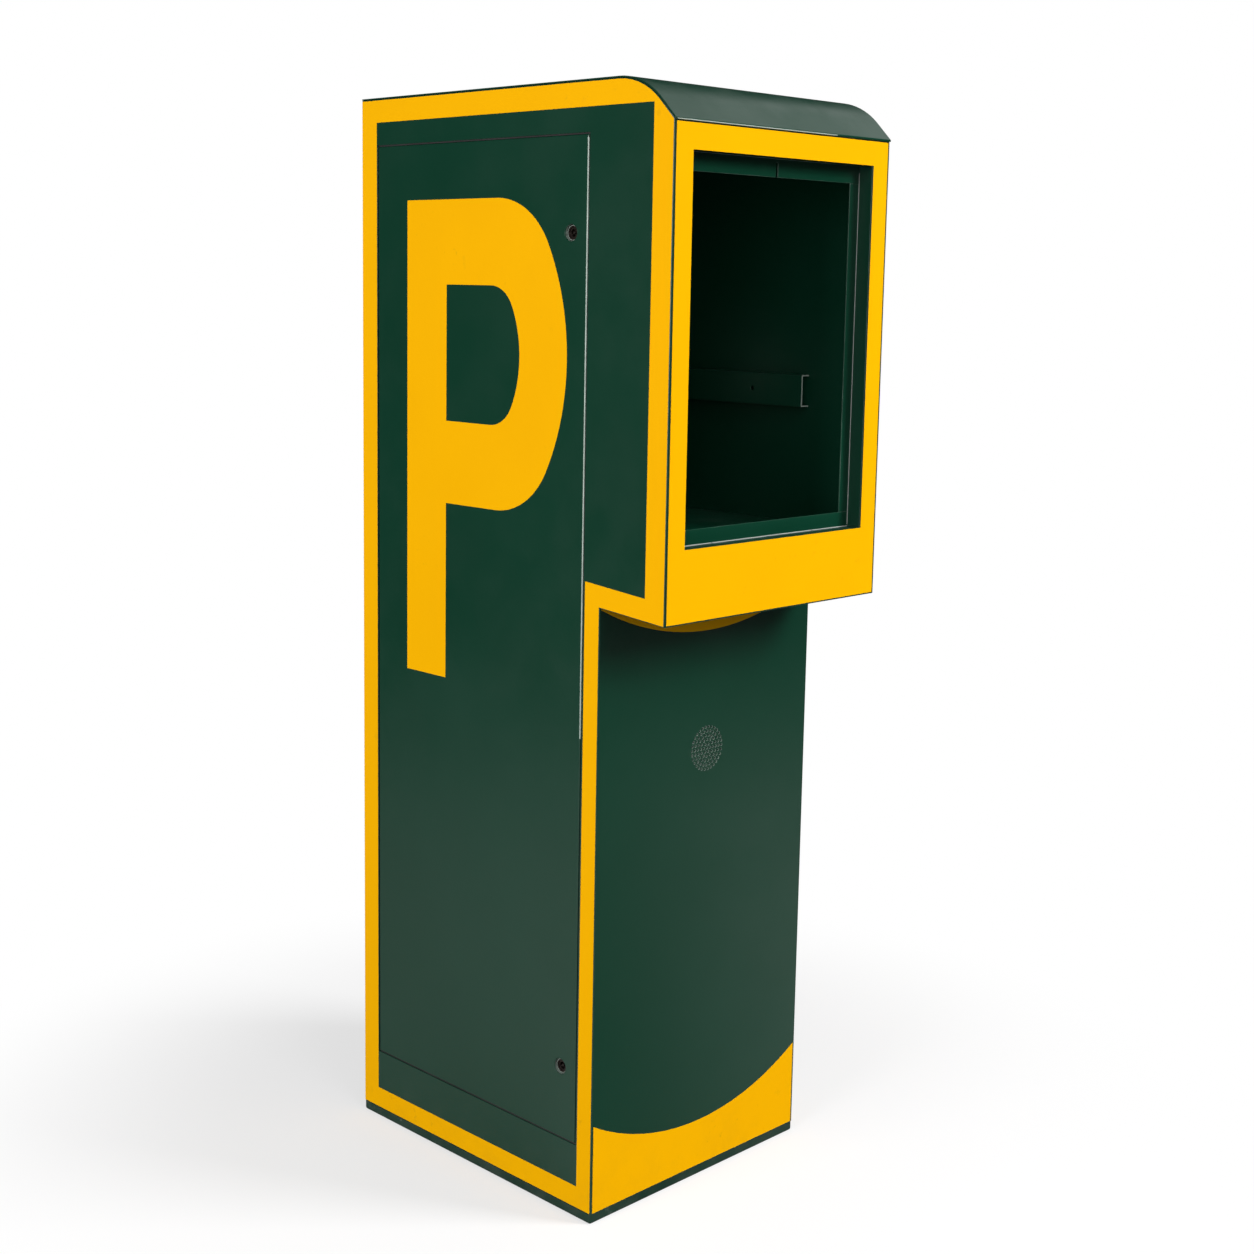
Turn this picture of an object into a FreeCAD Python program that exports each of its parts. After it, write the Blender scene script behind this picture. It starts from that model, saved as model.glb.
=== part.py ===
import FreeCAD, Part
import math
import os

# Ticket vending machine cabinet, all sizes in millimetres.
# Origin: centre of the base plate's underside.  +Z up, the front faces -Y, the service door is on -X.

V = FreeCAD.Vector

# ---- Driving dimensions -------------------------------------------------------------------------

WIDTH = 450.0                # across the front, over the side panels
DEPTH = 524.0                # pedestal, front to rear
HEIGHT = 1600.0              # floor to the top of the roof
OVERHANG = 121.0             # how far the head stands in front of the pedestal
SHEET = 2.0                  # steel sheet of the casing
BASE_T = 15.0                # base plate
BASE_CORNER_R = 4.0

HEAD_BOTTOM_Z = 886.0        # lower edge of the head's front
UNDERSIDE_RISE = 10.0        # the underside climbs this much towards the pedestal
ROOF_TIP_DROP = 57.0         # top of the roof down to its drip edge
ROOF_TIP_OUT = 2.0           # drip edge in front of the head's front
ROOF_ARC_R = 110.0
ROOF_SLOPE = 45.0            # degrees, the roof's straight front part
ROOF_GAP = 0.3               # between the roof sheet and the panels under it
FRONT_TOP_GAP = 1.2          # between the head's front sheet and the roof

WINDOW_HALF = 189.0          # half the window's width
WINDOW_UP, WINDOW_DOWN = 100.5, 95.0         # from the head's lower edge, and from the roof's top
REBATE_DEPTH = 26.5          # from the head's front to the back of the rebate
REBATE_SIDE, REBATE_SILL, REBATE_TOP = 21.0, 22.0, 25.0
REBATE_SLIT_X, REBATE_SLIT_W = 6.0, 4.0

DOOR_FRONT_MARGIN = 32.0     # pedestal's front to the door opening
DOOR_REAR_MARGIN = 37.0      # rear of the cabinet to the door opening
DOOR_Z0, DOOR_DOWN = 110.0, 69.0             # opening's lower edge, and its top below the roof's top
DOOR_GAP = 2.5               # all round the closed door
DOOR_RETURN = 18.0           # depth of the door's folded edges, from its outer face
LANDING_X = 24.0             # outer face of the panel to the outer side of the landing flange
LANDING_W = 20.0
SEAL_W, SEAL_INSET, SEAL_CLEAR = 8.0, 1.0, 0.3
SEAL_STOP = 35.0             # the seal ends this far in front of the opening's rear edge

HINGE_UP, HINGE_DOWN, HINGE_STEP = 80.0, 81.0, 381.0     # from the opening's ends; top to middle hinge
HINGE_INSET_X, HINGE_INSET_Y = 7.0, 12.0     # pin axis from the door's outer face and rear edge
HINGE_LEN = 92.0
KNUCKLE_R, PIN_R, PIN_CLEAR = 4.5, 2.5, 0.05
HINGE_KNUCKLE = 28.0         # length of each fixed knuckle
HINGE_END_GAP = 0.4
HINGE_NOTCH = 6.0            # the folded edge is cut this far past each end of a hinge
LEAF_T, LEAF_W = 2.5, 46.0

LOCK_EDGE = 31.5             # lock centre from the door's front edge
LOCK_UP, LOCK_DOWN = 109.0, 131.0            # lock centres from the opening's ends
LOCK_HOLE_R = 12.5
LOCK_BODY_R, LOCK_CORE_R, LOCK_CLEAR = 10.0, 7.5, 0.05
CAM_LEN, CAM_W, CAM_T = 30.0, 14.0, 3.0
CAM_DEPTH = 27.0             # outer face of the door to the cam
CAM_SHANK_R = 4.0

FLOOR_UP = 92.0              # equipment floor above the head's lower edge
FLOOR_LEFT = 27.0            # outer face of the door side to the floor's edge

RAIL_UP, RAIL_H, RAIL_FLANGE = 176.2, 48.0, 16.5         # rail above the equipment floor
RAIL_FRONT_GAP, RAIL_REAR_GAP = 12.0, 20.0   # pedestal's front to the rail's end, and rail to the rear
RAIL_BOLT_Y, RAIL_BOLT_PITCH, RAIL_BOLT_R = 98.0, 222.0, 3.3

DECAL_T = 0.3
BORDER_W = 36.0              # yellow border on the sides, at the rear, the top and the head's front
BORDER_PED, BORDER_BASE = 29.0, 33.5         # at the pedestal's front and above the base plate
BORDER_HEAD, BORDER_JUNCTION = 34.5, 34.0    # under the head, at its front and at the pedestal
BORDER_EDGE = 1.5
FRONT_EDGE = 4.0             # green line left beside the yellow on the front faces
LETTER_STEM_REAR = 109.0     # rear of the cabinet to the letter's stem
LETTER_DOWN, LETTER_H, BOWL_H = 151.0, 701.0, 439.0      # top below the roof's top; letter; its bowl
LETTER_STEM_W, LETTER_W = 90.0, 344.0
LETTER_OUTER_R, LETTER_SIDE_R = 120.0, 330.0
BOWL_STROKE, COUNTER_H, COUNTER_END = 121.0, 197.0, 96.0
COUNTER_R, COUNTER_SIDE_R = 50.0, 160.0
LOWER_ARC_Z, LOWER_ARC_SAG = 88.0, 59.5      # lowest point of the arc, and how far its ends rise
UPPER_ARC_DOWN, UPPER_ARC_SAG = 56.0, 53.0   # lowest point of the arc below the head, and its rise

GRILLE_Z, GRILLE_R, GRILLE_RINGS, GRILLE_HOLE_R = 664.0, 34.0, 5, 2.1

ANCHOR_X, ANCHOR_Y, ANCHOR_R = 175.0, 212.0, 9.0
CABLE_X0, CABLE_X1, CABLE_Y0, CABLE_Y1 = -170.0, -50.0, 70.0, 180.0
GLAND_R, GLAND_FLANGE, GLAND_BORE_R = 10.0, 14.0, 5.0

VAULT_X, VAULT_DEPTH, VAULT_WALL = 20.0, 195.0, 3.0
VAULT_Y0, VAULT_Y1, VAULT_H = -190.0, 100.0, 220.0
VAULT_DOOR_T, VAULT_DOOR_GAP, VAULT_PIN_R, VAULT_BARREL_R = 4.0, 2.0, 3.0, 5.0
VAULT_AXIS_OUT, VAULT_AXIS_UP = 7.0, 9.0     # hinge axis in front of the vault and above the base
VAULT_KEY_DOWN = 20.0        # key cylinder below the vault's top
VAULT_KEY_R = 9.0
VAULT_LIP = 10.0             # the vault's front edge folds in by this
CHUTE_X, CHUTE_Y, SLOT_X, SLOT_Y = 70.0, 50.0, 50.0, 30.0    # coin holes in floor and vault, in cassette
CASSETTE_FRONT, CASSETTE_SIDE, CASSETTE_TOP, CASSETTE_WALL = 24.0, 15.0, 40.0, 2.0

GASKET_T, SPEAKER_RIM_W, SPEAKER_RIM_T, SPEAKER_DEPTH = 2.0, 11.0, 3.0, 26.0
MAGNET_R, MAGNET_T = 25.0, 14.0

BATTERY_L, BATTERY_W, BATTERY_H = 181.0, 77.0, 160.0
TRAY_H, STRAP_W, STRAP_T = 30.0, 30.0, 1.5
PLATE_W, PLATE_H, PLATE_Z, STANDOFF = 320.0, 560.0, 340.0, 6.0
CASE_W, CASE_H, CASE_T = 220.0, 180.0, 42.0
SUPPLY_W, SUPPLY_H, SUPPLY_T = 100.0, 120.0, 48.0
DIN_L, DIN_H, DIN_T, DIN_DOWN = 280.0, 35.0, 7.5, 57.5       # rail, and its middle below the supply
BREAKER_T, BREAKER_H = 50.0, 83.0
LEVER_SINK, LEVER_L, LEVER_TILT = 6.0, 21.0, 20.0            # the lever rests pointing down

PRINTER_X, PRINTER_Y, PRINTER_W, PRINTER_D, PRINTER_H = -150.0, 50.0, 190.0, 185.0, 84.0
ROLL_BACK, ROLL_UP = 92.0, 205.0             # roll axis from the bracket's front and above the floor

ROLL_R, ROLL_CORE_R, ROLL_W, SPINDLE_CLEAR = 80.0, 12.0, 80.0, 0.07
PLATEN_R, PLATEN_SHAFT_R, PLATEN_CLEAR = 8.0, 3.0, 0.05

# ---- Values that follow from them ---------------------------------------------------------------

SIDE_X = WIDTH / 2
INNER_X = SIDE_X - SHEET
REAR_Y = DEPTH / 2
PED_Y = -DEPTH / 2
HEAD_Y = PED_Y - OVERHANG
JUNCTION_Z = HEAD_BOTTOM_Z + UNDERSIDE_RISE
ROOF_TIP_Z = HEIGHT - ROOF_TIP_DROP
WINDOW_Z0, WINDOW_Z1 = HEAD_BOTTOM_Z + WINDOW_UP, HEIGHT - WINDOW_DOWN
FLOOR_TOP = HEAD_BOTTOM_Z + FLOOR_UP
RAIL_Z0, RAIL_FRONT_Y = FLOOR_TOP + RAIL_UP, PED_Y + RAIL_FRONT_GAP
DOOR_Z1 = HEIGHT - DOOR_DOWN
HINGE_Z = (DOOR_Z0 + HINGE_UP, DOOR_Z1 - HINGE_DOWN - HINGE_STEP, DOOR_Z1 - HINGE_DOWN)
LOCK_Z = (DOOR_Z0 + LOCK_UP, DOOR_Z1 - LOCK_DOWN)
LETTER_Z1 = HEIGHT - LETTER_DOWN
OPEN_Y0, OPEN_Y1 = PED_Y + DOOR_FRONT_MARGIN, REAR_Y - DOOR_REAR_MARGIN
DOOR_Y0, DOOR_Y1 = OPEN_Y0 + DOOR_GAP, OPEN_Y1 - DOOR_GAP
DOOR_ZA, DOOR_ZB = DOOR_Z0 + DOOR_GAP, DOOR_Z1 - DOOR_GAP
HINGE_X, HINGE_Y = -SIDE_X + HINGE_INSET_X, DOOR_Y1 - HINGE_INSET_Y
LANDING_IN = -SIDE_X + LANDING_X
LOCK_Y = DOOR_Y0 + LOCK_EDGE
UP, ACROSS, ALONG = V(0, 0, 1), V(1, 0, 0), V(0, 1, 0)

os.makedirs("parts", exist_ok=True)


def save(node, shape):
    """Write one node, and say if it is not a closed valid solid."""
    if not shape.isValid() or not shape.Solids:
        print("NOT VALID", node)
    shape.exportStep("parts/%s.step" % node)


def box(x0, x1, y0, y1, z0, z1):
    return Part.makeBox(x1 - x0, y1 - y0, z1 - z0, V(x0, y0, z0))


def rod(radius, start, direction, length):
    return Part.makeCylinder(radius, length, start, direction)


def tube(outer, inner, start, direction, length):
    return rod(outer, start, direction, length).cut(rod(inner, start, direction, length))


def group(shapes):
    return Part.makeCompound(shapes)


def line(a, b):
    return Part.LineSegment(a, b).toShape()


def arc(a, mid, b):
    return Part.Arc(a, mid, b).toShape()


def plate_x(edges, x0, x1):
    """Extrude a closed outline drawn at x = 0 in the YZ plane from x0 to x1."""
    face = Part.Face(Part.Wire(edges))
    face.translate(V(x0, 0, 0))
    return face.extrude(V(x1 - x0, 0, 0))


def plate_y(edges, y0, y1):
    """Extrude a closed outline drawn at y = 0 in the XZ plane from y0 to y1."""
    face = Part.Face(Part.Wire(edges))
    face.translate(V(0, y0, 0))
    return face.extrude(V(0, y1 - y0, 0))


def polygon(points):
    return [line(points[i], points[(i + 1) % len(points)]) for i in range(len(points))]


def yz(points):
    return polygon([V(0, y, z) for y, z in points])


def round_edges(shape, radius, direction):
    """Fillet the edges that run along a direction."""
    edges = [e for e in shape.Edges
             if e.Curve.TypeId == "Part::GeomLine"
             and e.tangentAt(e.FirstParameter).cross(direction).Length < 1e-6]
    return shape.makeFillet(radius, edges)


def turned(profile, origin, direction):
    """Revolve (radius, height) points round an axis that starts at origin."""
    shape = Part.Face(Part.Wire(polygon([V(r, 0, h) for r, h in profile]))).revolve(V(), UP, 360)
    shape.Placement = FreeCAD.Placement(origin, FreeCAD.Rotation(UP, direction))
    return shape


# ---- Casing -------------------------------------------------------------------------------------

def roof_line(inset):
    """The roof's side outline, moved inwards: rear top, start and end of the arc, front tip."""
    slope = math.radians(ROOF_SLOPE)
    tip_y = HEAD_Y - ROOF_TIP_OUT
    arc_drop = ROOF_ARC_R * (1 - math.cos(slope))
    arc_end_y = tip_y + (HEIGHT - arc_drop - ROOF_TIP_Z) / math.tan(slope)
    centre = V(0, arc_end_y + ROOF_ARC_R * math.sin(slope), HEIGHT - ROOF_ARC_R)
    radius = ROOF_ARC_R - inset
    start = centre + V(0, 0, radius)
    middle = centre + V(0, -radius * math.sin(slope / 2), radius * math.cos(slope / 2))
    end = centre + V(0, -radius * math.sin(slope), radius * math.cos(slope))
    run = V(0, -math.cos(slope), -math.sin(slope))
    return V(0, REAR_Y, HEIGHT - inset), start, middle, end, run


def side_outline(inset, edge=0.0):
    """Outline of a side panel under the roof; edge draws it in from the other sides too."""
    rear, start, middle, end, run = roof_line(inset + edge)
    front_y = HEAD_Y + edge
    front = end + run * ((front_y - end.y) / run.y)
    rear.y = REAR_Y - edge
    lift = edge * 1.08
    corners = [front, V(0, front_y, HEAD_BOTTOM_Z + lift), V(0, PED_Y + edge, JUNCTION_Z + lift),
               V(0, PED_Y + edge, BASE_T + edge), V(0, REAR_Y - edge, BASE_T + edge), rear]
    edges = [line(rear, start), arc(start, middle, end), line(end, front)]
    return edges + [line(corners[i], corners[i + 1]) for i in range(5)]


def make_base_plate():
    plate = box(-SIDE_X, SIDE_X, PED_Y, REAR_Y, 0, BASE_T)
    plate = round_edges(plate, BASE_CORNER_R, UP)
    plate = plate.cut(box(CABLE_X0, CABLE_X1, CABLE_Y0, CABLE_Y1, -1, BASE_T + 1))
    for x in (-ANCHOR_X, ANCHOR_X):
        for y in (-ANCHOR_Y, ANCHOR_Y):
            plate = plate.cut(rod(ANCHOR_R, V(x, y, -1), UP, BASE_T + 2))
    return plate


def make_grille_holes():
    """Cutting rods for the loudspeaker grille: rings of holes round a middle one."""
    ring_step = (GRILLE_R - GRILLE_HOLE_R) / GRILLE_RINGS
    holes = [rod(GRILLE_HOLE_R, V(0, PED_Y - 1, GRILLE_Z), ALONG, SHEET + 2)]
    for ring in range(1, GRILLE_RINGS + 1):
        for index in range(6 * ring):
            turn = 2 * math.pi * index / (6 * ring)
            x, dz = ring * ring_step * math.cos(turn), ring * ring_step * math.sin(turn)
            holes.append(rod(GRILLE_HOLE_R, V(x, PED_Y - 1, GRILLE_Z + dz), ALONG, SHEET + 2))
    return group(holes)


def make_panels():
    inset = SHEET + ROOF_GAP
    outline = side_outline(inset)
    left = plate_x(outline, -SIDE_X, -INNER_X)
    left = left.cut(box(-SIDE_X - 1, -INNER_X + 1, OPEN_Y0, OPEN_Y1, DOOR_Z0, DOOR_Z1))
    save("left_side_panel", left)
    save("right_side_panel", plate_x(outline, INNER_X, SIDE_X))
    save("rear_panel", box(-INNER_X, INNER_X, REAR_Y - SHEET, REAR_Y, BASE_T, HEIGHT - inset))

    front_top = ROOF_TIP_Z + ROOF_TIP_OUT - SHEET / math.cos(math.radians(ROOF_SLOPE)) - FRONT_TOP_GAP
    front = box(-INNER_X, INNER_X, HEAD_Y, HEAD_Y + SHEET, HEAD_BOTTOM_Z, front_top)
    front = front.cut(box(-WINDOW_HALF, WINDOW_HALF, HEAD_Y - 1, HEAD_Y + SHEET + 1, WINDOW_Z0, WINDOW_Z1))
    save("head_front_panel", front)

    lip = 4.0
    rise = UNDERSIDE_RISE / OVERHANG
    y0, y1 = HEAD_Y + SHEET, PED_Y + lip
    z0, z1 = HEAD_BOTTOM_Z + SHEET * rise, HEAD_BOTTOM_Z + (y1 - HEAD_Y) * rise
    under = yz([(y0, z0), (y1, z1), (y1, z1 + SHEET), (y0, z0 + SHEET)])
    save("head_underside", plate_x(under, -INNER_X, INNER_X))

    pedestal = box(-INNER_X, INNER_X, PED_Y, PED_Y + SHEET, BASE_T, JUNCTION_Z)
    save("pedestal_front_panel", pedestal.cut(make_grille_holes()))
    return front_top


def make_roof():
    """Bent sheet: flat top, rounded front, straight slope down to the drip edge."""
    outer, inner = roof_line(0.0), roof_line(SHEET)
    tips = []
    for rear, start, middle, end, run in (outer, inner):
        tips.append(end + run * ((HEAD_Y - ROOF_TIP_OUT - end.y) / run.y))
    edges = [line(outer[0], outer[1]), arc(outer[1], outer[2], outer[3]), line(outer[3], tips[0]),
             line(tips[0], tips[1]), line(tips[1], inner[3]), arc(inner[3], inner[2], inner[1]),
             line(inner[1], inner[0]), line(inner[0], outer[0])]
    return plate_x(edges, -SIDE_X, SIDE_X)


def make_rebate():
    """The rebate round the window: one folded angle on each side, the top one with a slit."""
    y0, y1 = HEAD_Y + SHEET, HEAD_Y + REBATE_DEPTH
    for name, sign in (("left", -1), ("right", 1)):
        wall = sorted((sign * WINDOW_HALF, sign * (WINDOW_HALF + SHEET)))
        lip = sorted((sign * WINDOW_HALF, sign * (WINDOW_HALF - REBATE_SIDE)))
        angle = box(*wall, y0, y1, WINDOW_Z0, WINDOW_Z1)
        low, high = WINDOW_Z0 + REBATE_SILL, WINDOW_Z1 - REBATE_TOP
        save("window_%s_angle" % name, angle.fuse(box(*lip, y1 - SHEET, y1, low, high)).removeSplitter())
    wide = WINDOW_HALF + SHEET
    sill = box(-wide, wide, y0, y1, WINDOW_Z0 - SHEET, WINDOW_Z0)
    sill_lip = box(-WINDOW_HALF, WINDOW_HALF, y1 - SHEET, y1, WINDOW_Z0, WINDOW_Z0 + REBATE_SILL)
    save("window_sill_angle", sill.fuse(sill_lip).removeSplitter())
    top = box(-wide, wide, y0, y1, WINDOW_Z1, WINDOW_Z1 + SHEET)
    top_lip = box(-WINDOW_HALF, WINDOW_HALF, y1 - SHEET, y1, WINDOW_Z1 - REBATE_TOP, WINDOW_Z1)
    slit = box(REBATE_SLIT_X - REBATE_SLIT_W / 2, REBATE_SLIT_X + REBATE_SLIT_W / 2,
               y1 - SHEET - 1, y1 + 1, WINDOW_Z1 - REBATE_TOP - 1, WINDOW_Z1 - 5)
    save("window_top_angle", top.fuse(top_lip).removeSplitter().cut(slit))


def make_door_frame():
    """Folded ring behind the door opening: a return and the landing flange that the seal sits on."""
    x0, x1 = -INNER_X, LANDING_IN + SHEET
    outer = box(x0, x1, OPEN_Y0 - SHEET, OPEN_Y1 + SHEET, DOOR_Z0 - SHEET, DOOR_Z1 + SHEET)
    frame = outer.cut(box(x0 - 1, x1 - SHEET, OPEN_Y0, OPEN_Y1, DOOR_Z0, DOOR_Z1))
    frame = frame.cut(box(x0, x1 + 1, OPEN_Y0 + LANDING_W, OPEN_Y1 - LANDING_W,
                          DOOR_Z0 + LANDING_W, DOOR_Z1 - LANDING_W))
    save("door_frame", frame)

    a, b = SEAL_INSET, SEAL_INSET + SEAL_W
    x0, x1 = -SIDE_X + DOOR_RETURN + SEAL_CLEAR, LANDING_IN
    rear = OPEN_Y1 - SEAL_STOP
    seal = box(x0, x1, OPEN_Y0 + a, rear, DOOR_Z0 + a, DOOR_Z1 - a)
    seal = seal.cut(box(x0 - 1, x1 + 1, OPEN_Y0 + b, rear + 1, DOOR_Z0 + b, DOOR_Z1 - b))
    save("door_seal", seal)


def square_hole(half_x, half_y, z0, z1):
    """The coins' way down, above the middle of the vault."""
    x, y = VAULT_X + VAULT_DEPTH / 2, (VAULT_Y0 + VAULT_Y1) / 2
    return box(x - half_x, x + half_x, y - half_y, y + half_y, z0, z1)


def make_equipment_floor():
    """Floor of the head, with a folded edge beside the door, a cable hole and a coin chute hole."""
    x0 = -SIDE_X + FLOOR_LEFT
    y0, y1 = HEAD_Y + SHEET, REAR_Y - SHEET
    floor = box(x0, INNER_X, y0, y1, FLOOR_TOP - SHEET, FLOOR_TOP)
    edge_drop = 16.0
    edge = box(x0, x0 + SHEET, OPEN_Y0 - SHEET, y1, FLOOR_TOP - edge_drop, FLOOR_TOP)
    floor = floor.fuse(edge).removeSplitter()
    hole_r, hole_in = 25.0, 45.0
    hole_at = V(INNER_X - hole_in, REAR_Y - hole_in, FLOOR_TOP - edge_drop)
    floor = floor.cut(rod(hole_r, hole_at, UP, 2 * edge_drop))
    return floor.cut(square_hole(CHUTE_X / 2, CHUTE_Y / 2, FLOOR_TOP - SHEET - 1, FLOOR_TOP + 1))


def make_mounting_rail():
    """C channel on the inside of the right panel, open towards the panel."""
    y1 = REAR_Y - RAIL_REAR_GAP
    x0 = INNER_X - RAIL_FLANGE
    channel = box(x0, INNER_X, RAIL_FRONT_Y, y1, RAIL_Z0, RAIL_Z0 + RAIL_H)
    channel = channel.cut(box(x0 + SHEET, INNER_X + 1, RAIL_FRONT_Y - 1, y1 + 1,
                              RAIL_Z0 + SHEET, RAIL_Z0 + RAIL_H - SHEET))
    hole_z = RAIL_Z0 + RAIL_H / 2
    for y in (RAIL_FRONT_Y + RAIL_BOLT_Y, RAIL_FRONT_Y + RAIL_BOLT_Y + RAIL_BOLT_PITCH):
        channel = channel.cut(rod(RAIL_BOLT_R, V(x0 - 1, y, hole_z), ACROSS, SHEET + 2))
    return channel


# ---- Side door and its hinges -------------------------------------------------------------------

def make_door():
    outer = box(-SIDE_X, -SIDE_X + DOOR_RETURN, DOOR_Y0, DOOR_Y1, DOOR_ZA, DOOR_ZB)
    skin = outer.cut(box(-INNER_X, 0, DOOR_Y0 + SHEET, DOOR_Y1 - SHEET, DOOR_ZA + SHEET, DOOR_ZB - SHEET))
    for z in HINGE_Z:
        half = HINGE_LEN / 2 + HINGE_NOTCH
        skin = skin.cut(box(-INNER_X, 0, DOOR_Y1 - SHEET - 1, DOOR_Y1 + 1, z - half, z + half))
    for z in LOCK_Z:
        skin = skin.cut(rod(LOCK_HOLE_R, V(-SIDE_X - 1, LOCK_Y, z), ACROSS, SHEET + 2))
    save("door_skin", skin)

    hat_w, hat_h, brim, end_gap = 40.0, 15.0, 14.0, 55.0
    x0 = -INNER_X
    hats = []
    for y in (DOOR_Y0 + 135.0, DOOR_Y1 - 115.0):
        half = hat_w / 2
        outline = [(x0, -half - brim), (x0 + SHEET, -half - brim), (x0 + SHEET, -half - SHEET),
                   (x0 + hat_h, -half - SHEET), (x0 + hat_h, half + SHEET), (x0 + SHEET, half + SHEET),
                   (x0 + SHEET, half + brim), (x0, half + brim), (x0, half),
                   (x0 + hat_h - SHEET, half), (x0 + hat_h - SHEET, -half), (x0, -half)]
        wire = Part.Wire(polygon([V(px, y + py, DOOR_ZA + end_gap) for px, py in outline]))
        hats.append(Part.Face(wire).extrude(UP * (DOOR_ZB - DOOR_ZA - 2 * end_gap)))
    save("door_stiffeners", group(hats))


def make_hinges():
    """Concealed hinges: two fixed knuckles on arms, one knuckle on the door's leaf, one pin each."""
    fixed_leaves, door_leaves, pins = [], [], []
    middle = HINGE_LEN - 2 * HINGE_KNUCKLE - 2 * HINGE_END_GAP
    for z in HINGE_Z:
        low = z - HINGE_LEN / 2
        fixed = []
        for z0 in (low, low + HINGE_LEN - HINGE_KNUCKLE):
            z1 = z0 + HINGE_KNUCKLE
            knuckle = rod(KNUCKLE_R, V(HINGE_X, HINGE_Y, z0), UP, HINGE_KNUCKLE)
            arm = box(HINGE_X, LANDING_IN, HINGE_Y - KNUCKLE_R, HINGE_Y, z0, z1)
            fixed.append(knuckle.fuse(arm))
        foot = box(LANDING_IN - SHEET, LANDING_IN, OPEN_Y1 - LANDING_W, OPEN_Y1 - 0.5, low, low + HINGE_LEN)
        leaf = foot.multiFuse(fixed).removeSplitter()
        fixed_leaves.append(leaf.cut(rod(PIN_R, V(HINGE_X, HINGE_Y, low - 1), UP, HINGE_LEN + 2)))

        z0 = low + HINGE_KNUCKLE + HINGE_END_GAP
        knuckle = rod(KNUCKLE_R, V(HINGE_X, HINGE_Y, z0), UP, middle)
        bridge = box(-INNER_X, HINGE_X, HINGE_Y - KNUCKLE_R, HINGE_Y, z0, z0 + middle)
        plate = box(-INNER_X, -INNER_X + LEAF_T, HINGE_Y - LEAF_W, HINGE_Y - KNUCKLE_R - 1,
                    low, low + HINGE_LEN)
        link = box(-INNER_X, -INNER_X + LEAF_T, HINGE_Y - KNUCKLE_R - 1, HINGE_Y - KNUCKLE_R + 1,
                   z0, z0 + middle)
        moving = knuckle.multiFuse([bridge, plate, link]).removeSplitter()
        door_leaves.append(moving.cut(rod(PIN_R + PIN_CLEAR, V(HINGE_X, HINGE_Y, z0 - 1), UP, middle + 2)))

        head = 1.5
        pin = rod(PIN_R, V(HINGE_X, HINGE_Y, low - head), UP, HINGE_LEN + head)
        pins.append(pin.fuse(rod(KNUCKLE_R - 0.5, V(HINGE_X, HINGE_Y, low + HINGE_LEN), UP, head)))
    save("hinge_fixed_leaves", group(fixed_leaves))
    save("hinge_door_leaves", group(door_leaves))
    save("hinge_pins", group(pins))


def make_locks():
    """Quarter-turn locks: a cup and barrel in the door, a nut, a core with its cam behind."""
    face = -SIDE_X
    nuts = []
    cup_wall, cup_depth, body_len, body_face = 1.0, 6.0, 22.0, 3.5
    nut_r, nut_t = 15.0, 4.0
    for name, z in zip(("lower", "upper"), LOCK_Z):
        origin = V(face, LOCK_Y, z)
        bore = LOCK_CORE_R + LOCK_CLEAR
        body = turned([(bore, body_face), (LOCK_BODY_R, body_face), (LOCK_BODY_R, cup_depth),
                       (LOCK_HOLE_R - cup_wall, cup_depth), (LOCK_HOLE_R - cup_wall, 0.2), (LOCK_HOLE_R, 0.2),
                       (LOCK_HOLE_R, cup_depth + 2), (LOCK_BODY_R, cup_depth + 2), (LOCK_BODY_R, body_len),
                       (bore, body_len)], origin, ACROSS)
        save("%s_lock_housing" % name, body)

        nut_at = origin + ACROSS * (cup_depth + 2)
        corners = [k * math.pi / 3 for k in range(6)]
        hexagon = [V(0, nut_r * math.cos(a), nut_r * math.sin(a)) for a in corners]
        nut = Part.Face(Part.Wire(polygon(hexagon))).extrude(ACROSS * nut_t)
        nut.translate(nut_at)
        nuts.append(nut.cut(rod(LOCK_BODY_R, nut_at - ACROSS, ACROSS, nut_t + 2)))

        socket, pin_r, collar = 5.5, 1.9, 2.0
        core_face = body_face + 1.5
        cam_end = CAM_DEPTH + CAM_T
        core = turned([(0, core_face), (pin_r, core_face), (pin_r, core_face + 6), (socket, core_face + 6),
                       (socket, core_face), (LOCK_CORE_R, core_face), (LOCK_CORE_R, body_len + collar),
                       (CAM_SHANK_R, body_len + collar), (CAM_SHANK_R, cam_end), (0, cam_end)], origin, ACROSS)
        save("%s_lock_core" % name, core)

        cam = box(face + CAM_DEPTH, face + cam_end, LOCK_Y - CAM_W / 2, LOCK_Y + CAM_W / 2, z - CAM_LEN, z)
        cam = cam.fuse(rod(CAM_W / 2, V(face + CAM_DEPTH, LOCK_Y, z), ACROSS, CAM_T)).removeSplitter()
        save("%s_lock_cam" % name, cam.cut(rod(CAM_SHANK_R, origin, ACROSS, cam_end + 1)))
    save("lock_nuts", group(nuts))


# ---- Yellow graphics ----------------------------------------------------------------------------

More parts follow.
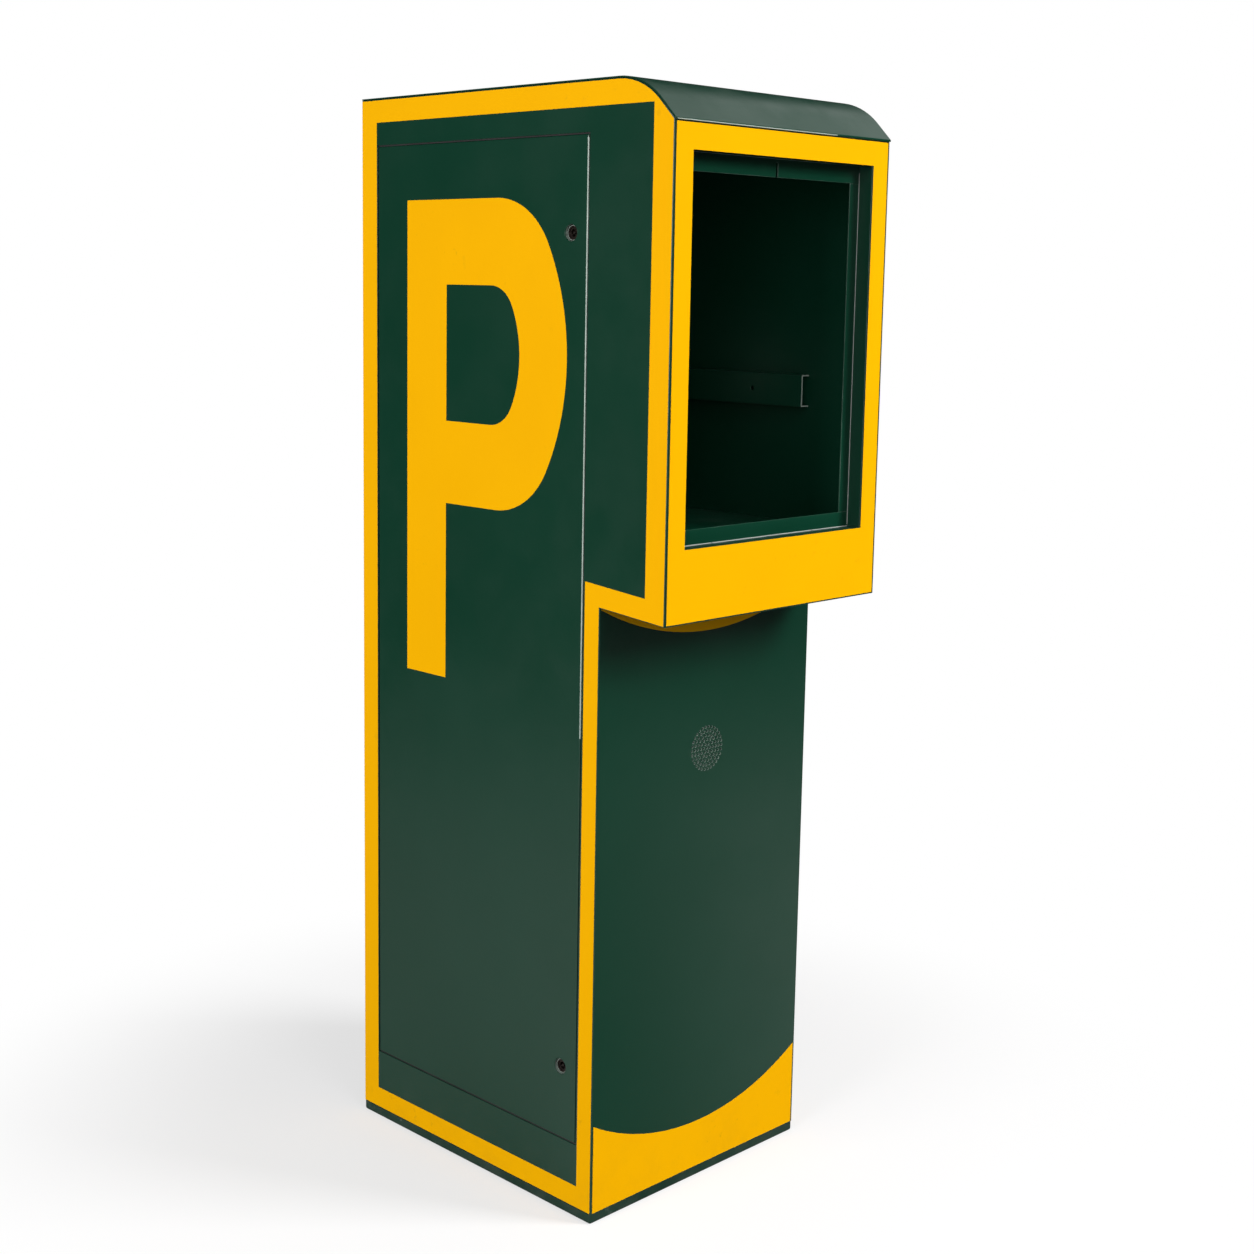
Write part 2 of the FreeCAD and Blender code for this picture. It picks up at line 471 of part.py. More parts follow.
def bowl(stem_y, z0, z1, reach, corner_r, side_r, facing):
    """Closed bowl shape: straight at the stem, two corner arcs and a flatter arc between them."""
    half, mid = (z1 - z0) / 2, (z1 + z0) / 2
    side_c = reach - side_r
    corner_c = side_c + math.sqrt((side_r - corner_r) ** 2 - (half - corner_r) ** 2)
    join = math.atan2(half - corner_r, corner_c - side_c)
    turn = (join + math.pi / 2) / 2

    def at(u, w):
        return V(0, stem_y + facing * u, mid + w)

    a = at(side_c + side_r * math.cos(join), side_r * math.sin(join))
    b = at(side_c + side_r * math.cos(join), -side_r * math.sin(join))
    up = at(corner_c + corner_r * math.cos(turn), half - corner_r + corner_r * math.sin(turn))
    down = at(corner_c + corner_r * math.cos(turn), -half + corner_r - corner_r * math.sin(turn))
    return [line(at(0, half), at(corner_c, half)), arc(at(corner_c, half), up, a), arc(a, at(reach, 0), b),
            arc(b, down, at(corner_c, -half)), line(at(corner_c, -half), at(0, -half)),
            line(at(0, -half), at(0, half))]


def make_letter(x0, x1, stem_y, facing):
    """Plain parking letter P, built of one stroke, one bowl and its counter."""
    far = stem_y + facing * LETTER_STEM_W
    stem = box(x0, x1, min(stem_y, far), max(stem_y, far), LETTER_Z1 - LETTER_H, LETTER_Z1)
    outer = bowl(stem_y, LETTER_Z1 - BOWL_H, LETTER_Z1, LETTER_W, LETTER_OUTER_R, LETTER_SIDE_R, facing)
    top = LETTER_Z1 - BOWL_STROKE
    counter = bowl(far, top - COUNTER_H, top, LETTER_W - LETTER_STEM_W - COUNTER_END,
                   COUNTER_R, COUNTER_SIDE_R, facing)
    letter = stem.fuse(plate_x(outer, x0, x1)).removeSplitter()
    return letter.cut(plate_x(counter, x0 - 1, x1 + 1))


def arc_band(z_at_edge, arc_z, sag, y0, y1, half):
    """Band across the front whose other edge is a wide arc, lowest at the middle."""
    left, right = V(-half, 0, arc_z + sag), V(half, 0, arc_z + sag)
    low, high = V(-half, 0, z_at_edge), V(half, 0, z_at_edge)
    edges = [arc(left, V(0, 0, arc_z), right), line(right, high), line(high, low), line(low, left)]
    return plate_y(edges, y0, y1)


def make_graphics(front_top):
    inset = SHEET + ROOF_GAP
    inner = yz([(REAR_Y - BORDER_W, BASE_T + BORDER_BASE), (REAR_Y - BORDER_W, HEIGHT - BORDER_W),
                (HEAD_Y + BORDER_W, HEIGHT - BORDER_W), (HEAD_Y + BORDER_W, HEAD_BOTTOM_Z + BORDER_HEAD),
                (PED_Y + BORDER_PED, JUNCTION_Z + BORDER_JUNCTION),
                (PED_Y + BORDER_PED, BASE_T + BORDER_BASE)])
    borders = []
    for a, b in ((-SIDE_X - DECAL_T, -SIDE_X), (SIDE_X, SIDE_X + DECAL_T)):
        border = plate_x(side_outline(inset, BORDER_EDGE), a, b)
        borders.append(border.cut(plate_x(inner, a - 1, b + 1)))
    stem_y = REAR_Y - LETTER_STEM_REAR
    save("left_border_decal", borders[0])
    letter = make_letter(SIDE_X, SIDE_X + DECAL_T, stem_y - LETTER_W, 1)
    save("right_side_decals", group([borders[1], letter]))
    save("door_letter_decal", make_letter(-SIDE_X - DECAL_T, -SIDE_X, stem_y, -1))

    half = SIDE_X - FRONT_EDGE
    front = box(-half, half, HEAD_Y - DECAL_T, HEAD_Y, HEAD_BOTTOM_Z + 2, front_top - 2)
    window = box(-WINDOW_HALF, WINDOW_HALF, HEAD_Y - 1, HEAD_Y + 1, WINDOW_Z0, WINDOW_Z1)
    save("head_front_decal", front.cut(window))
    y0, y1 = PED_Y - DECAL_T, PED_Y
    lower = arc_band(BASE_T + 1, LOWER_ARC_Z, LOWER_ARC_SAG, y0, y1, half)
    upper = arc_band(JUNCTION_Z - 2, JUNCTION_Z - UPPER_ARC_DOWN, UPPER_ARC_SAG, y0, y1, half)
    save("pedestal_front_decals", group([lower, upper]))


# ---- Loudspeaker behind the grille --------------------------------------------------------------

def make_loudspeaker():
    origin = V(0, PED_Y + SHEET, GRILLE_Z)
    mouth_r = GRILLE_R + 2
    frame_r = mouth_r + SPEAKER_RIM_W
    back = GASKET_T + SPEAKER_DEPTH
    rim = GASKET_T + SPEAKER_RIM_T
    neck_r, wall = 16.0, 2.0
    save("speaker_gasket", tube(frame_r, mouth_r, origin, ALONG, GASKET_T))

    basket = turned([(mouth_r, GASKET_T), (frame_r, GASKET_T), (frame_r, rim), (mouth_r + wall, rim),
                     (neck_r + wall, back), (MAGNET_R, back), (MAGNET_R, back + MAGNET_T),
                     (0, back + MAGNET_T), (0, back), (neck_r, back - 1), (mouth_r, rim)], origin, ALONG)
    screw_r, head_r, head_t, edge = 2.2, 3.8, 2.4, 5.0
    screws = []
    for k in range(4):
        angle = math.pi / 4 + k * math.pi / 2
        at = origin + V(math.cos(angle), 0, math.sin(angle)) * (frame_r - edge)
        basket = basket.cut(rod(screw_r, at, ALONG, back))
        screws.append(rod(head_r, at + ALONG * rim, ALONG, head_t))
    save("speaker_basket", basket)
    save("speaker_screws", group(screws))

    cone_t, cone_r, dust_r, dust_at = 0.8, mouth_r - 0.5, 12.0, back - 6
    save("speaker_cone", turned([(0, dust_at - 2), (dust_r, dust_at), (cone_r, GASKET_T + 1),
                                 (cone_r, GASKET_T + 1 + cone_t), (dust_r, dust_at + cone_t),
                                 (0, dust_at - 2 + cone_t)], origin, ALONG))


# ---- Coin vault ---------------------------------------------------------------------------------

def make_vault():
    x0, x1 = VAULT_X, VAULT_X + VAULT_DEPTH
    y0, y1, z0, z1 = VAULT_Y0, VAULT_Y1, BASE_T, BASE_T + VAULT_H
    wall, mid_y = VAULT_WALL, (VAULT_Y0 + VAULT_Y1) / 2
    axis_x, axis_z = x0 - VAULT_AXIS_OUT, BASE_T + VAULT_AXIS_UP

    shell = box(x0, x1, y0, y1, z0, z1)
    shell = shell.cut(box(x0 + wall, x1 - wall, y0 + wall, y1 - wall, z0 + wall, z1 - wall))
    shell = shell.cut(box(x0 - 1, x0 + wall + 1, y0 + VAULT_LIP, y1 - VAULT_LIP,
                          z0 + VAULT_LIP, z1 - VAULT_LIP))
    shell = shell.cut(square_hole(CHUTE_X / 2, CHUTE_Y / 2, z1 - wall - 1, z1 + 1))
    lugs, lug_r = [], 6.0
    for y in (y0, y1 - wall):
        lug = box(axis_x - lug_r, x0, y, y + wall, z0, axis_z + lug_r)
        lugs.append(lug.cut(rod(VAULT_PIN_R, V(axis_x, y - 1, axis_z), ALONG, wall + 2)))
    save("vault_housing", shell.multiFuse(lugs).removeSplitter())
    save("vault_hinge_pin", rod(VAULT_PIN_R, V(axis_x, y0, axis_z), ALONG, y1 - y0))

    side, top_gap = wall + 1.0, 2.0
    face_in = x0 - VAULT_DOOR_GAP
    face_out = face_in - VAULT_DOOR_T
    door = box(face_out, face_in, y0 + side, y1 - side, axis_z, z1 - top_gap)
    barrel = rod(VAULT_BARREL_R, V(axis_x, y0 + side, axis_z), ALONG, y1 - y0 - 2 * side)
    door = door.fuse(barrel).removeSplitter()
    door = door.cut(rod(VAULT_PIN_R + PIN_CLEAR, V(axis_x, y0, axis_z), ALONG, y1 - y0))
    key_at = V(face_out, mid_y, z1 - VAULT_KEY_DOWN)
    save("vault_door", door.cut(rod(VAULT_KEY_R + LOCK_CLEAR, key_at - ACROSS, ACROSS, VAULT_DOOR_T + 2)))

    rim_t, shank_r, slot_w, slot_h, cam_gap = 2.0, 4.0, 2.0, 8.0, 1.0
    cam_reach, cam_half = VAULT_KEY_DOWN - wall - 2.5, 7.0
    cam_x = x0 + wall + cam_gap
    key = rod(VAULT_KEY_R, key_at - ACROSS * rim_t, ACROSS, VAULT_DOOR_T + rim_t)
    key = key.fuse(rod(shank_r, V(face_in, key_at.y, key_at.z), ACROSS, cam_x + CAM_T - face_in))
    keyway = box(face_out - rim_t - 1, face_out + 1, mid_y - slot_w / 2, mid_y + slot_w / 2,
                 key_at.z - slot_h / 2, key_at.z + slot_h / 2)
    cam = box(cam_x, cam_x + CAM_T, mid_y - cam_half, mid_y + cam_half,
              key_at.z - cam_reach, key_at.z + shank_r)
    save("vault_key_cylinder", key.cut(keyway).fuse(cam).removeSplitter())

    front, back, low, high = x0 + CASSETTE_FRONT, x1 - 10, z0 + wall, z1 - CASSETTE_TOP
    y0, y1, skin = y0 + CASSETTE_SIDE, y1 - CASSETTE_SIDE, CASSETTE_WALL
    cassette = box(front, back, y0, y1, low, high)
    cassette = cassette.cut(box(front + skin, back - skin, y0 + skin, y1 - skin, low + skin, high - skin))
    cassette = cassette.cut(square_hole(SLOT_X / 2, SLOT_Y / 2, high - skin - 1, high + 1))
    grip_r, post_r, reach, half, grip_z = 3.5, 2.8, 13.0, 45.0, (low + high) / 2
    posts = [rod(post_r, V(front - reach, mid_y + side * (half - 2 * post_r), grip_z), ACROSS, reach + 1)
             for side in (-1, 1)]
    grip = rod(grip_r, V(front - reach, mid_y - half, grip_z), ALONG, 2 * half)
    save("coin_cassette", cassette.multiFuse(posts + [grip]))


# ---- Power and control --------------------------------------------------------------------------

def make_battery():
    x0, y0, z0 = VAULT_X + 2, VAULT_Y1 + 10, BASE_T + SHEET
    x1, y1, z1 = x0 + BATTERY_L, y0 + BATTERY_W, z0 + BATTERY_H
    term_r, term_h, term_in = 6.0, 7.0, 16.0
    case = round_edges(box(x0, x1, y0, y1, z0, z1), 3.0, UP)
    terms = [rod(term_r, V(x, y0 + term_in, z1), UP, term_h) for x in (x0 + term_in, x1 - term_in)]
    save("battery", case.multiFuse(terms).removeSplitter())

    gap = 2.0
    edge = gap + SHEET
    tray = box(x0 - edge, x1 + edge, y0 - edge, y1 + edge, BASE_T, BASE_T + TRAY_H)
    save("battery_tray", tray.cut(box(x0 - gap, x1 + gap, y0 - gap, y1 + gap, z0, z0 + TRAY_H)))

    mid, half, slack = (x0 + x1) / 2, STRAP_W / 2, 0.2
    out = slack + STRAP_T
    strap = box(mid - half, mid + half, y0 - out, y1 + out, z0, z1 + out)
    strap = strap.cut(box(mid - half - 1, mid + half + 1, y0 - slack, y1 + slack, z0 - 1, z1 + slack))
    save("battery_strap", strap)


def make_electrics():
    """Mounting plate on the rear panel with controller, power supply, rail, terminals and breaker."""
    back = REAR_Y - SHEET - STANDOFF - SHEET
    half, low, high = PLATE_W / 2, PLATE_Z, PLATE_Z + PLATE_H
    inset, post_r = 15.0, 5.0
    plate = box(-half, half, back, back + SHEET, low, high)
    posts = [rod(post_r, V(x, back + SHEET, z), ALONG, STANDOFF)
             for x in (inset - half, half - inset) for z in (low + inset, high - inset)]
    save("electrics_plate", plate.multiFuse(posts).removeSplitter())

    case_z = high - 30 - CASE_H
    case = round_edges(box(-CASE_W / 2, CASE_W / 2, back - CASE_T, back, case_z, case_z + CASE_H), 4.0, ALONG)
    vent_w, vent_h, vent_step, vents = 18.0, 6.0, 28.0, 6
    for k in range(vents):
        x = (k - (vents - 1) / 2) * vent_step
        case = case.cut(box(x - vent_w / 2, x + vent_w / 2, back - CASE_T - 1, back - CASE_T + 4,
                            case_z + 10, case_z + 10 + vent_h))
    save("controller_case", case)

    x0, z0 = -PLATE_W / 2 + 40, case_z - 25 - SUPPLY_H
    supply = box(x0, x0 + SUPPLY_W, back - SUPPLY_T, back, z0, z0 + SUPPLY_H)
    fin_gap, fin_step, fin_edge = 5.0, 14.0, 12.0
    for k in range(7):
        z = z0 + 15 + k * fin_step
        supply = supply.cut(box(x0 + fin_edge, x0 + SUPPLY_W - fin_edge, back - SUPPLY_T - 1,
                                back - SUPPLY_T + 3, z, z + fin_gap))
    save("power_supply", supply)

    face, mid_z = back - DIN_T, z0 - DIN_DOWN
    brim = 5.0
    rail = box(-DIN_L / 2, DIN_L / 2, face, back, mid_z - DIN_H / 2, mid_z + DIN_H / 2)
    rail = rail.cut(box(-DIN_L, DIN_L, face - 1, back - 1,
                        mid_z - DIN_H / 2 + brim, mid_z + DIN_H / 2 - brim))
    for side in (-1, 1):
        z = sorted((mid_z + side * (DIN_H / 2 - brim + 1), mid_z + side * (DIN_H / 2 + 1)))
        rail = rail.cut(box(-DIN_L, DIN_L, face + 1, back + 1, *z))
    save("din_rail", rail)
    make_terminals(face, mid_z)
    make_breaker(face, mid_z)


def make_terminals(face, mid_z):
    pitch, gap, depth, half_h, step, step_h = 6.2, 0.3, 38.0, 23.5, 10.0, 9.0
    blocks = []
    for k in range(12):
        x = k * pitch - 30
        block = box(x, x + pitch - gap, face - depth, face, mid_z - half_h, mid_z + half_h)
        for side in (-1, 1):
            z = sorted((mid_z + side * (half_h - step_h), mid_z + side * (half_h + 1)))
            block = block.cut(box(x - 1, x + pitch, face - depth - 1, face - depth + step, *z))
        blocks.append(block)
    save("terminal_blocks", group(blocks))


def make_breaker(face, mid_z):
    x0, x1, front, half_h = -110.0, -74.0, face - BREAKER_T, BREAKER_H / 2
    shoulder, shoulder_t = 19.0, 22.0
    body = box(x0, x1, front, face, mid_z - half_h, mid_z + half_h)
    for side in (-1, 1):
        z = sorted((mid_z + side * (half_h - shoulder), mid_z + side * (half_h + 1)))
        body = body.cut(box(x0 - 1, x1 + 1, front - 1, front + shoulder_t, *z))
    well_r, cheek = 9.0, 9.0
    axis = V(x0 + cheek, front + LEVER_SINK, mid_z)
    width = x1 - x0 - 2 * cheek
    body = body.cut(rod(well_r, axis, ACROSS, width))
    body = body.cut(box(axis.x, axis.x + width, front - 1, axis.y, mid_z - well_r, mid_z + well_r))
    save("breaker_body", body)

    side, drum_r, tab_t = 0.4, well_r - 0.5, 5.0
    drum = rod(drum_r, axis + ACROSS * side, ACROSS, width - 2 * side)
    tab = box(axis.x + side, axis.x + width - side, axis.y - LEVER_L, axis.y,
              mid_z - tab_t / 2, mid_z + tab_t / 2)
    tab.rotate(axis, ACROSS, LEVER_TILT)
    save("breaker_lever", drum.fuse(tab).removeSplitter())


def make_cable_entry():
    margin = 10.0
    at = V((CABLE_X0 + CABLE_X1) / 2, (CABLE_Y0 + CABLE_Y1) / 2, 0)
    plate = box(CABLE_X0 - margin, CABLE_X1 + margin, CABLE_Y0 - margin, CABLE_Y1 + margin,
                BASE_T, BASE_T + SHEET)
    save("gland_plate", plate.cut(rod(GLAND_R, at, UP, 2 * BASE_T)))
    thread, flange_t, dome_t, chamfer = 8.0, 7.0, 10.0, 5.0
    seat = BASE_T + SHEET
    dome_r, top = GLAND_R + 2, seat + flange_t + dome_t + chamfer
    outline = [(GLAND_BORE_R, BASE_T - thread), (GLAND_R, BASE_T - thread), (GLAND_R, seat),
               (GLAND_FLANGE, seat), (GLAND_FLANGE, seat + flange_t), (dome_r, seat + flange_t),
               (dome_r, top - chamfer), (dome_r - 3, top), (GLAND_BORE_R, top)]
    save("cable_gland", turned(outline, at, UP))


# ---- Ticket printer -----------------------------------------------------------------------------

def make_printer():
    x0, x1 = PRINTER_X, PRINTER_X + PRINTER_W
    y0, y1 = PRINTER_Y, PRINTER_Y + PRINTER_D
    mid, foot_top = (x0 + x1) / 2, FLOOR_TOP + SHEET
    roll = V(mid - ROLL_W / 2, y0 + ROLL_BACK, FLOOR_TOP + ROLL_UP)
    foot = box(x0, x1, y0, y1, FLOOR_TOP, foot_top)
    cheeks = [round_edges(box(a, a + SHEET, y0, y1, FLOOR_TOP, roll.z + 25), 20.0, ACROSS)
              for a in (x0, x1 - SHEET)]
    save("printer_bracket", foot.multiFuse(cheeks).removeSplitter())

    side, front, rear, slot_half, slot_up, slot_h, slot_d = 12.0, 14.0, 20.0, 45.0, 30.0, 6.4, 30.0
    body_top = foot_top + PRINTER_H
    body = round_edges(box(x0 + side, x1 - side, y0 + front, y1 - rear, foot_top, body_top), 5.0, UP)
    body = body.cut(box(mid - slot_half, mid + slot_half, y0, y0 + front + slot_d,
                        foot_top + slot_up, foot_top + slot_up + slot_h))
    ear_t, ear_half, ear_gap, platen_back, platen_up = 6.0, 9.0, 2.0, 34.0, 18.0
    platen = V(mid, y0 + platen_back, body_top + platen_up)
    reach = ROLL_W / 2 + 4
    ears = []
    for a in (mid - reach - ear_gap - ear_t, mid + reach + ear_gap):
        ear = box(a, a + ear_t, platen.y - ear_half, platen.y + ear_half, body_top - 4, platen.z + ear_half)
        bore = rod(PLATEN_SHAFT_R + PLATEN_CLEAR, V(a - 1, platen.y, platen.z), ACROSS, ear_t + 2)
        ears.append(ear.cut(bore))
    save("ticket_printer", body.multiFuse(ears).removeSplitter())

    shaft = reach + ear_gap + ear_t + 4
    roller = rod(PLATEN_R, platen - ACROSS * reach, ACROSS, 2 * reach)
    roller = roller.fuse(rod(PLATEN_SHAFT_R, platen - ACROSS * shaft, ACROSS, 2 * shaft))
    save("platen_roller", roller.removeSplitter())
    spindle_r = ROLL_CORE_R - SPINDLE_CLEAR
    save("roll_spindle", rod(spindle_r, V(x0 + SHEET, roll.y, roll.z), ACROSS, PRINTER_W - 2 * SHEET))
    save("ticket_roll", tube(ROLL_R, ROLL_CORE_R, roll, ACROSS, ROLL_W))


save("base_plate", make_base_plate())
head_front_top = make_panels()
save("roof_cover", make_roof())
make_rebate()
make_door_frame()
save("equipment_floor", make_equipment_floor())
save("mounting_rail", make_mounting_rail())
make_door()
make_hinges()
make_locks()
make_graphics(head_front_top)
make_loudspeaker()
make_vault()
make_battery()
make_electrics()
make_cable_entry()
make_printer()
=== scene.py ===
"""Ticket vending machine: the looks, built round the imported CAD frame.

Lengths are in metres and every piece is made in its own place: the origin is the middle of the base
plate's underside, +Z is up, the front faces -Y and the service door is on -X.
"""
import logging
import math
from dataclasses import dataclass
from enum import Enum
from typing import Callable, Mapping, Optional, Sequence, Union

import bmesh
import bpy
from mathutils import Matrix, Vector


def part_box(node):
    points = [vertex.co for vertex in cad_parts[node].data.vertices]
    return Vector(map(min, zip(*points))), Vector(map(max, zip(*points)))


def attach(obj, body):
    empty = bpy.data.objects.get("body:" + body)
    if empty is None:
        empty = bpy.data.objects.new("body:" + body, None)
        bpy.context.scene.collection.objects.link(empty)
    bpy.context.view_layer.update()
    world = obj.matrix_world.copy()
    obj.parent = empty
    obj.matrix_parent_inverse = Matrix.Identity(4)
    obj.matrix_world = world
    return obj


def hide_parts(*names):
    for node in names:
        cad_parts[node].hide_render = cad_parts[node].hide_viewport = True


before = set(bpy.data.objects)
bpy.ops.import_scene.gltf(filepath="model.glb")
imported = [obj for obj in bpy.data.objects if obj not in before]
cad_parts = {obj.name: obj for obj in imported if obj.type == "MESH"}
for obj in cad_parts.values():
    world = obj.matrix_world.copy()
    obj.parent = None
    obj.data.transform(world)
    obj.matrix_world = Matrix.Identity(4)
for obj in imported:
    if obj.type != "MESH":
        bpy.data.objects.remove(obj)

log = logging.getLogger("ticket_machine")

MM = 0.001
SAME_POINT = 1e-6            # vertices nearer than this are one vertex
FLAT = math.radians(1.0)     # faces that meet at less than this are one flat face
FOLD_ANGLE = math.radians(40.0)
SMOOTH_ANGLE = math.radians(35.0)

Colour = tuple[float, float, float]
Point = Sequence[float]
Outline = Sequence[tuple[float, float]]
SocketValue = Union[float, Sequence[float], bpy.types.NodeSocket]


class Slot(Enum):
    """The record's finishes."""

    GREEN_PAINT = "green_paint"
    PLINTH_PAINT = "plinth_paint"
    YELLOW_FILM = "yellow_film"
    ZINC_STEEL = "zinc_steel"
    LOCK_STEEL = "lock_steel"
    LOCK_DARK = "lock_dark"
    VAULT_PAINT = "vault_paint"
    SEAL_RUBBER = "seal_rubber"
    BLACK_PLASTIC = "black_plastic"
    GREY_PLASTIC = "grey_plastic"
    ALUMINIUM_CASE = "aluminium_case"
    BASKET_METAL = "basket_metal"
    PAPER = "paper"


class WearAndHighlight(Enum):
    """How worn a piece is, or which painted highlight it carries: its usual finish, edges with a painted
    highlight, or bare metal, which also paints highlights on some pieces.
    """

    USUAL = "usual"
    # Edges with a painted highlight, pale and broken up.
    PAINTED_EDGE_HIGHLIGHTS = "painted_edge_sheen"
    # Bare metal: real on the grille's hole walls, and a painted highlight on the roof's and door's edge rods
    # and the rail's cut end.
    BARE_AND_HIGHLIGHT = "bare"


class Body(Enum):
    """The frame's moving bodies."""

    CABINET = "cabinet"
    SIDE_DOOR = "side_door"
    UPPER_LOCK = "upper_lock"
    LOWER_LOCK = "lower_lock"
    VAULT_DOOR = "vault_door"
    VAULT_KEY = "vault_key"
    BREAKER_LEVER = "breaker_lever"
    PLATEN_ROLLER = "platen_roller"
    TICKET_ROLL = "ticket_roll"


class Run(Enum):
    """Directions that rods, turned parts and screws point in."""

    RIGHT = (1.0, 0.0, 0.0)
    LEFT = (-1.0, 0.0, 0.0)
    BACK = (0.0, 1.0, 0.0)
    FRONT = (0.0, -1.0, 0.0)
    UP = (0.0, 0.0, 1.0)

    def place(self, at: Point) -> Matrix:
        """The place of a shape that is made along +Z and starts at a point in this direction."""
        turn = Vector(self.value).to_track_quat("Z", "Y").to_matrix().to_4x4()
        return Matrix.Translation(Vector(at)) @ turn


@dataclass(frozen=True)
class Space:
    """The box that a CAD node fills."""

    low: Vector
    high: Vector

    @classmethod
    def of(cls, node: str) -> "Space":
        """The box of a CAD node at rest."""
        return cls(*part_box(node))

    @property
    def centre(self) -> Vector:
        """The middle of the box."""
        return (self.low + self.high) / 2

    @property
    def size(self) -> Vector:
        """The box's three sides."""
        return self.high - self.low

    def corners(self, inset: float) -> list[tuple[float, float]]:
        """The X and Z of four points inside the corners of the box's front face."""
        return [(x, z) for x in (self.low.x + inset, self.high.x - inset)
                for z in (self.low.z + inset, self.high.z - inset)]


# ---- Shader nodes -------------------------------------------------------------------------------


class NodeBench:
    """Places nodes in one tree and joins them."""

    def __init__(self, tree: bpy.types.NodeTree) -> None:
        """Works on a tree."""
        self.tree = tree

    def add(self, kind: str, inputs: Optional[Mapping[Union[str, int], SocketValue]] = None,
            **settings: object) -> bpy.types.Node:
        """Adds a node.

        Args:
            kind: The node's type name.
            inputs: Input names or numbers, each with a value or with the socket that feeds it.
            settings: The node's own settings.

        Returns:
            The new node.
        """
        node = self.tree.nodes.new(kind)
        for key, value in settings.items():
            setattr(node, key, value)
        for key, value in (inputs or {}).items():
            if isinstance(value, bpy.types.NodeSocket):
                self.tree.links.new(value, node.inputs[key])
            else:
                node.inputs[key].default_value = value
        return node

    def math(self, operation: str, a: SocketValue, b: SocketValue = 0.0, c: SocketValue = 0.0,
             clamp: bool = False) -> bpy.types.NodeSocket:
        """Adds a Math node.

        Args:
            operation: The node's operation.
            a: First value.
            b: Second value.
            c: Third value, which only some operations have.
            clamp: Keeps the result from 0 to 1.

        Returns:
            The result's socket.
        """
        node = self.add("ShaderNodeMath", {0: a, 1: b, 2: c}, operation=operation, use_clamp=clamp)
        return node.outputs[0]

    def feed(self, node: bpy.types.Node, label: str, value: bpy.types.NodeSocket) -> None:
        """Joins a value to a node's input."""
        self.tree.links.new(value, node.inputs[label])

    def mix(self, share: SocketValue, a: SocketValue, b: SocketValue) -> bpy.types.NodeSocket:
        """Mixes two colours.

        Args:
            share: 0 gives a and 1 gives b.
            a: First colour, with its alpha.
            b: Second colour, with its alpha.

        Returns:
            The mixed colour's socket.
        """
        node = self.add("ShaderNodeMix", {0: share, 6: a, 7: b}, data_type="RGBA")
        return node.outputs[2]

    def ramp(self, value: SocketValue, low: float, high: float, to_low: float = 0.0,
             to_high: float = 1.0) -> bpy.types.NodeSocket:
        """Stretches a value smoothly from one range to another.

        Args:
            value: What is stretched.
            low: Value that gives to_low.
            high: Value that gives to_high.
            to_low: Result at low and below.
            to_high: Result at high and above.

        Returns:
            The result's socket.
        """
        inputs = {"Value": value, "From Min": low, "From Max": high, "To Min": to_low, "To Max": to_high}
        node = self.add("ShaderNodeMapRange", inputs, interpolation_type="SMOOTHSTEP", clamp=True)
        return node.outputs["Result"]

    def noise(self, scale: SocketValue, detail: float = 2.0, vector: Optional[SocketValue] = None,
              roughness: float = 0.5) -> bpy.types.NodeSocket:
        """Adds noise on the object's own coordinates.

        Args:
            scale: Waves per metre.
            detail: Octaves.
            vector: Coordinates, where they aren't the object's own.
            roughness: How much the finer octaves count.

        Returns:
            The noise value's socket, about 0.5 on average.
        """
        if vector is None:
            vector = self.add("ShaderNodeTexCoord").outputs["Object"]
        inputs = {"Vector": vector, "Scale": scale, "Detail": detail, "Roughness": roughness}
        return self.add("ShaderNodeTexNoise", inputs).outputs[0]


class EffectGroup:
    """A shader node group with named inputs and one output, built once and shared by the finishes."""

    def __init__(self, name: str, inputs: Mapping[str, float], output: str) -> None:
        """Starts the group.

        Args:
            name: The group's name.
            inputs: Each input's name and usual value.
            output: The output's name.
        """
        self.tree = bpy.data.node_groups.new(name, "ShaderNodeTree")
        for label, value in inputs.items():
            socket = self.tree.interface.new_socket(name=label, in_out="INPUT", socket_type="NodeSocketFloat")
            socket.default_value = value
        self.tree.interface.new_socket(name=output, in_out="OUTPUT", socket_type="NodeSocketFloat")
        self.bench = NodeBench(self.tree)
        self.inputs = self.bench.add("NodeGroupInput").outputs
        self.end = self.bench.add("NodeGroupOutput")

    def put_out(self, value: bpy.types.NodeSocket) -> None:
        """Joins a value to the group's output."""
        self.tree.links.new(value, self.end.inputs[0])

    def use(self, bench: NodeBench, **values: float) -> bpy.types.NodeSocket:
        """Places the group in a material.

        Args:
            bench: The material's bench.
            values: The inputs' values, by lower-case name.

        Returns:
            The group's output socket in that material.
        """
        node = bench.add("ShaderNodeGroup", node_tree=self.tree)
        for label, value in values.items():
            node.inputs[label.replace("_", " ").capitalize()].default_value = value
        return node.outputs[0]


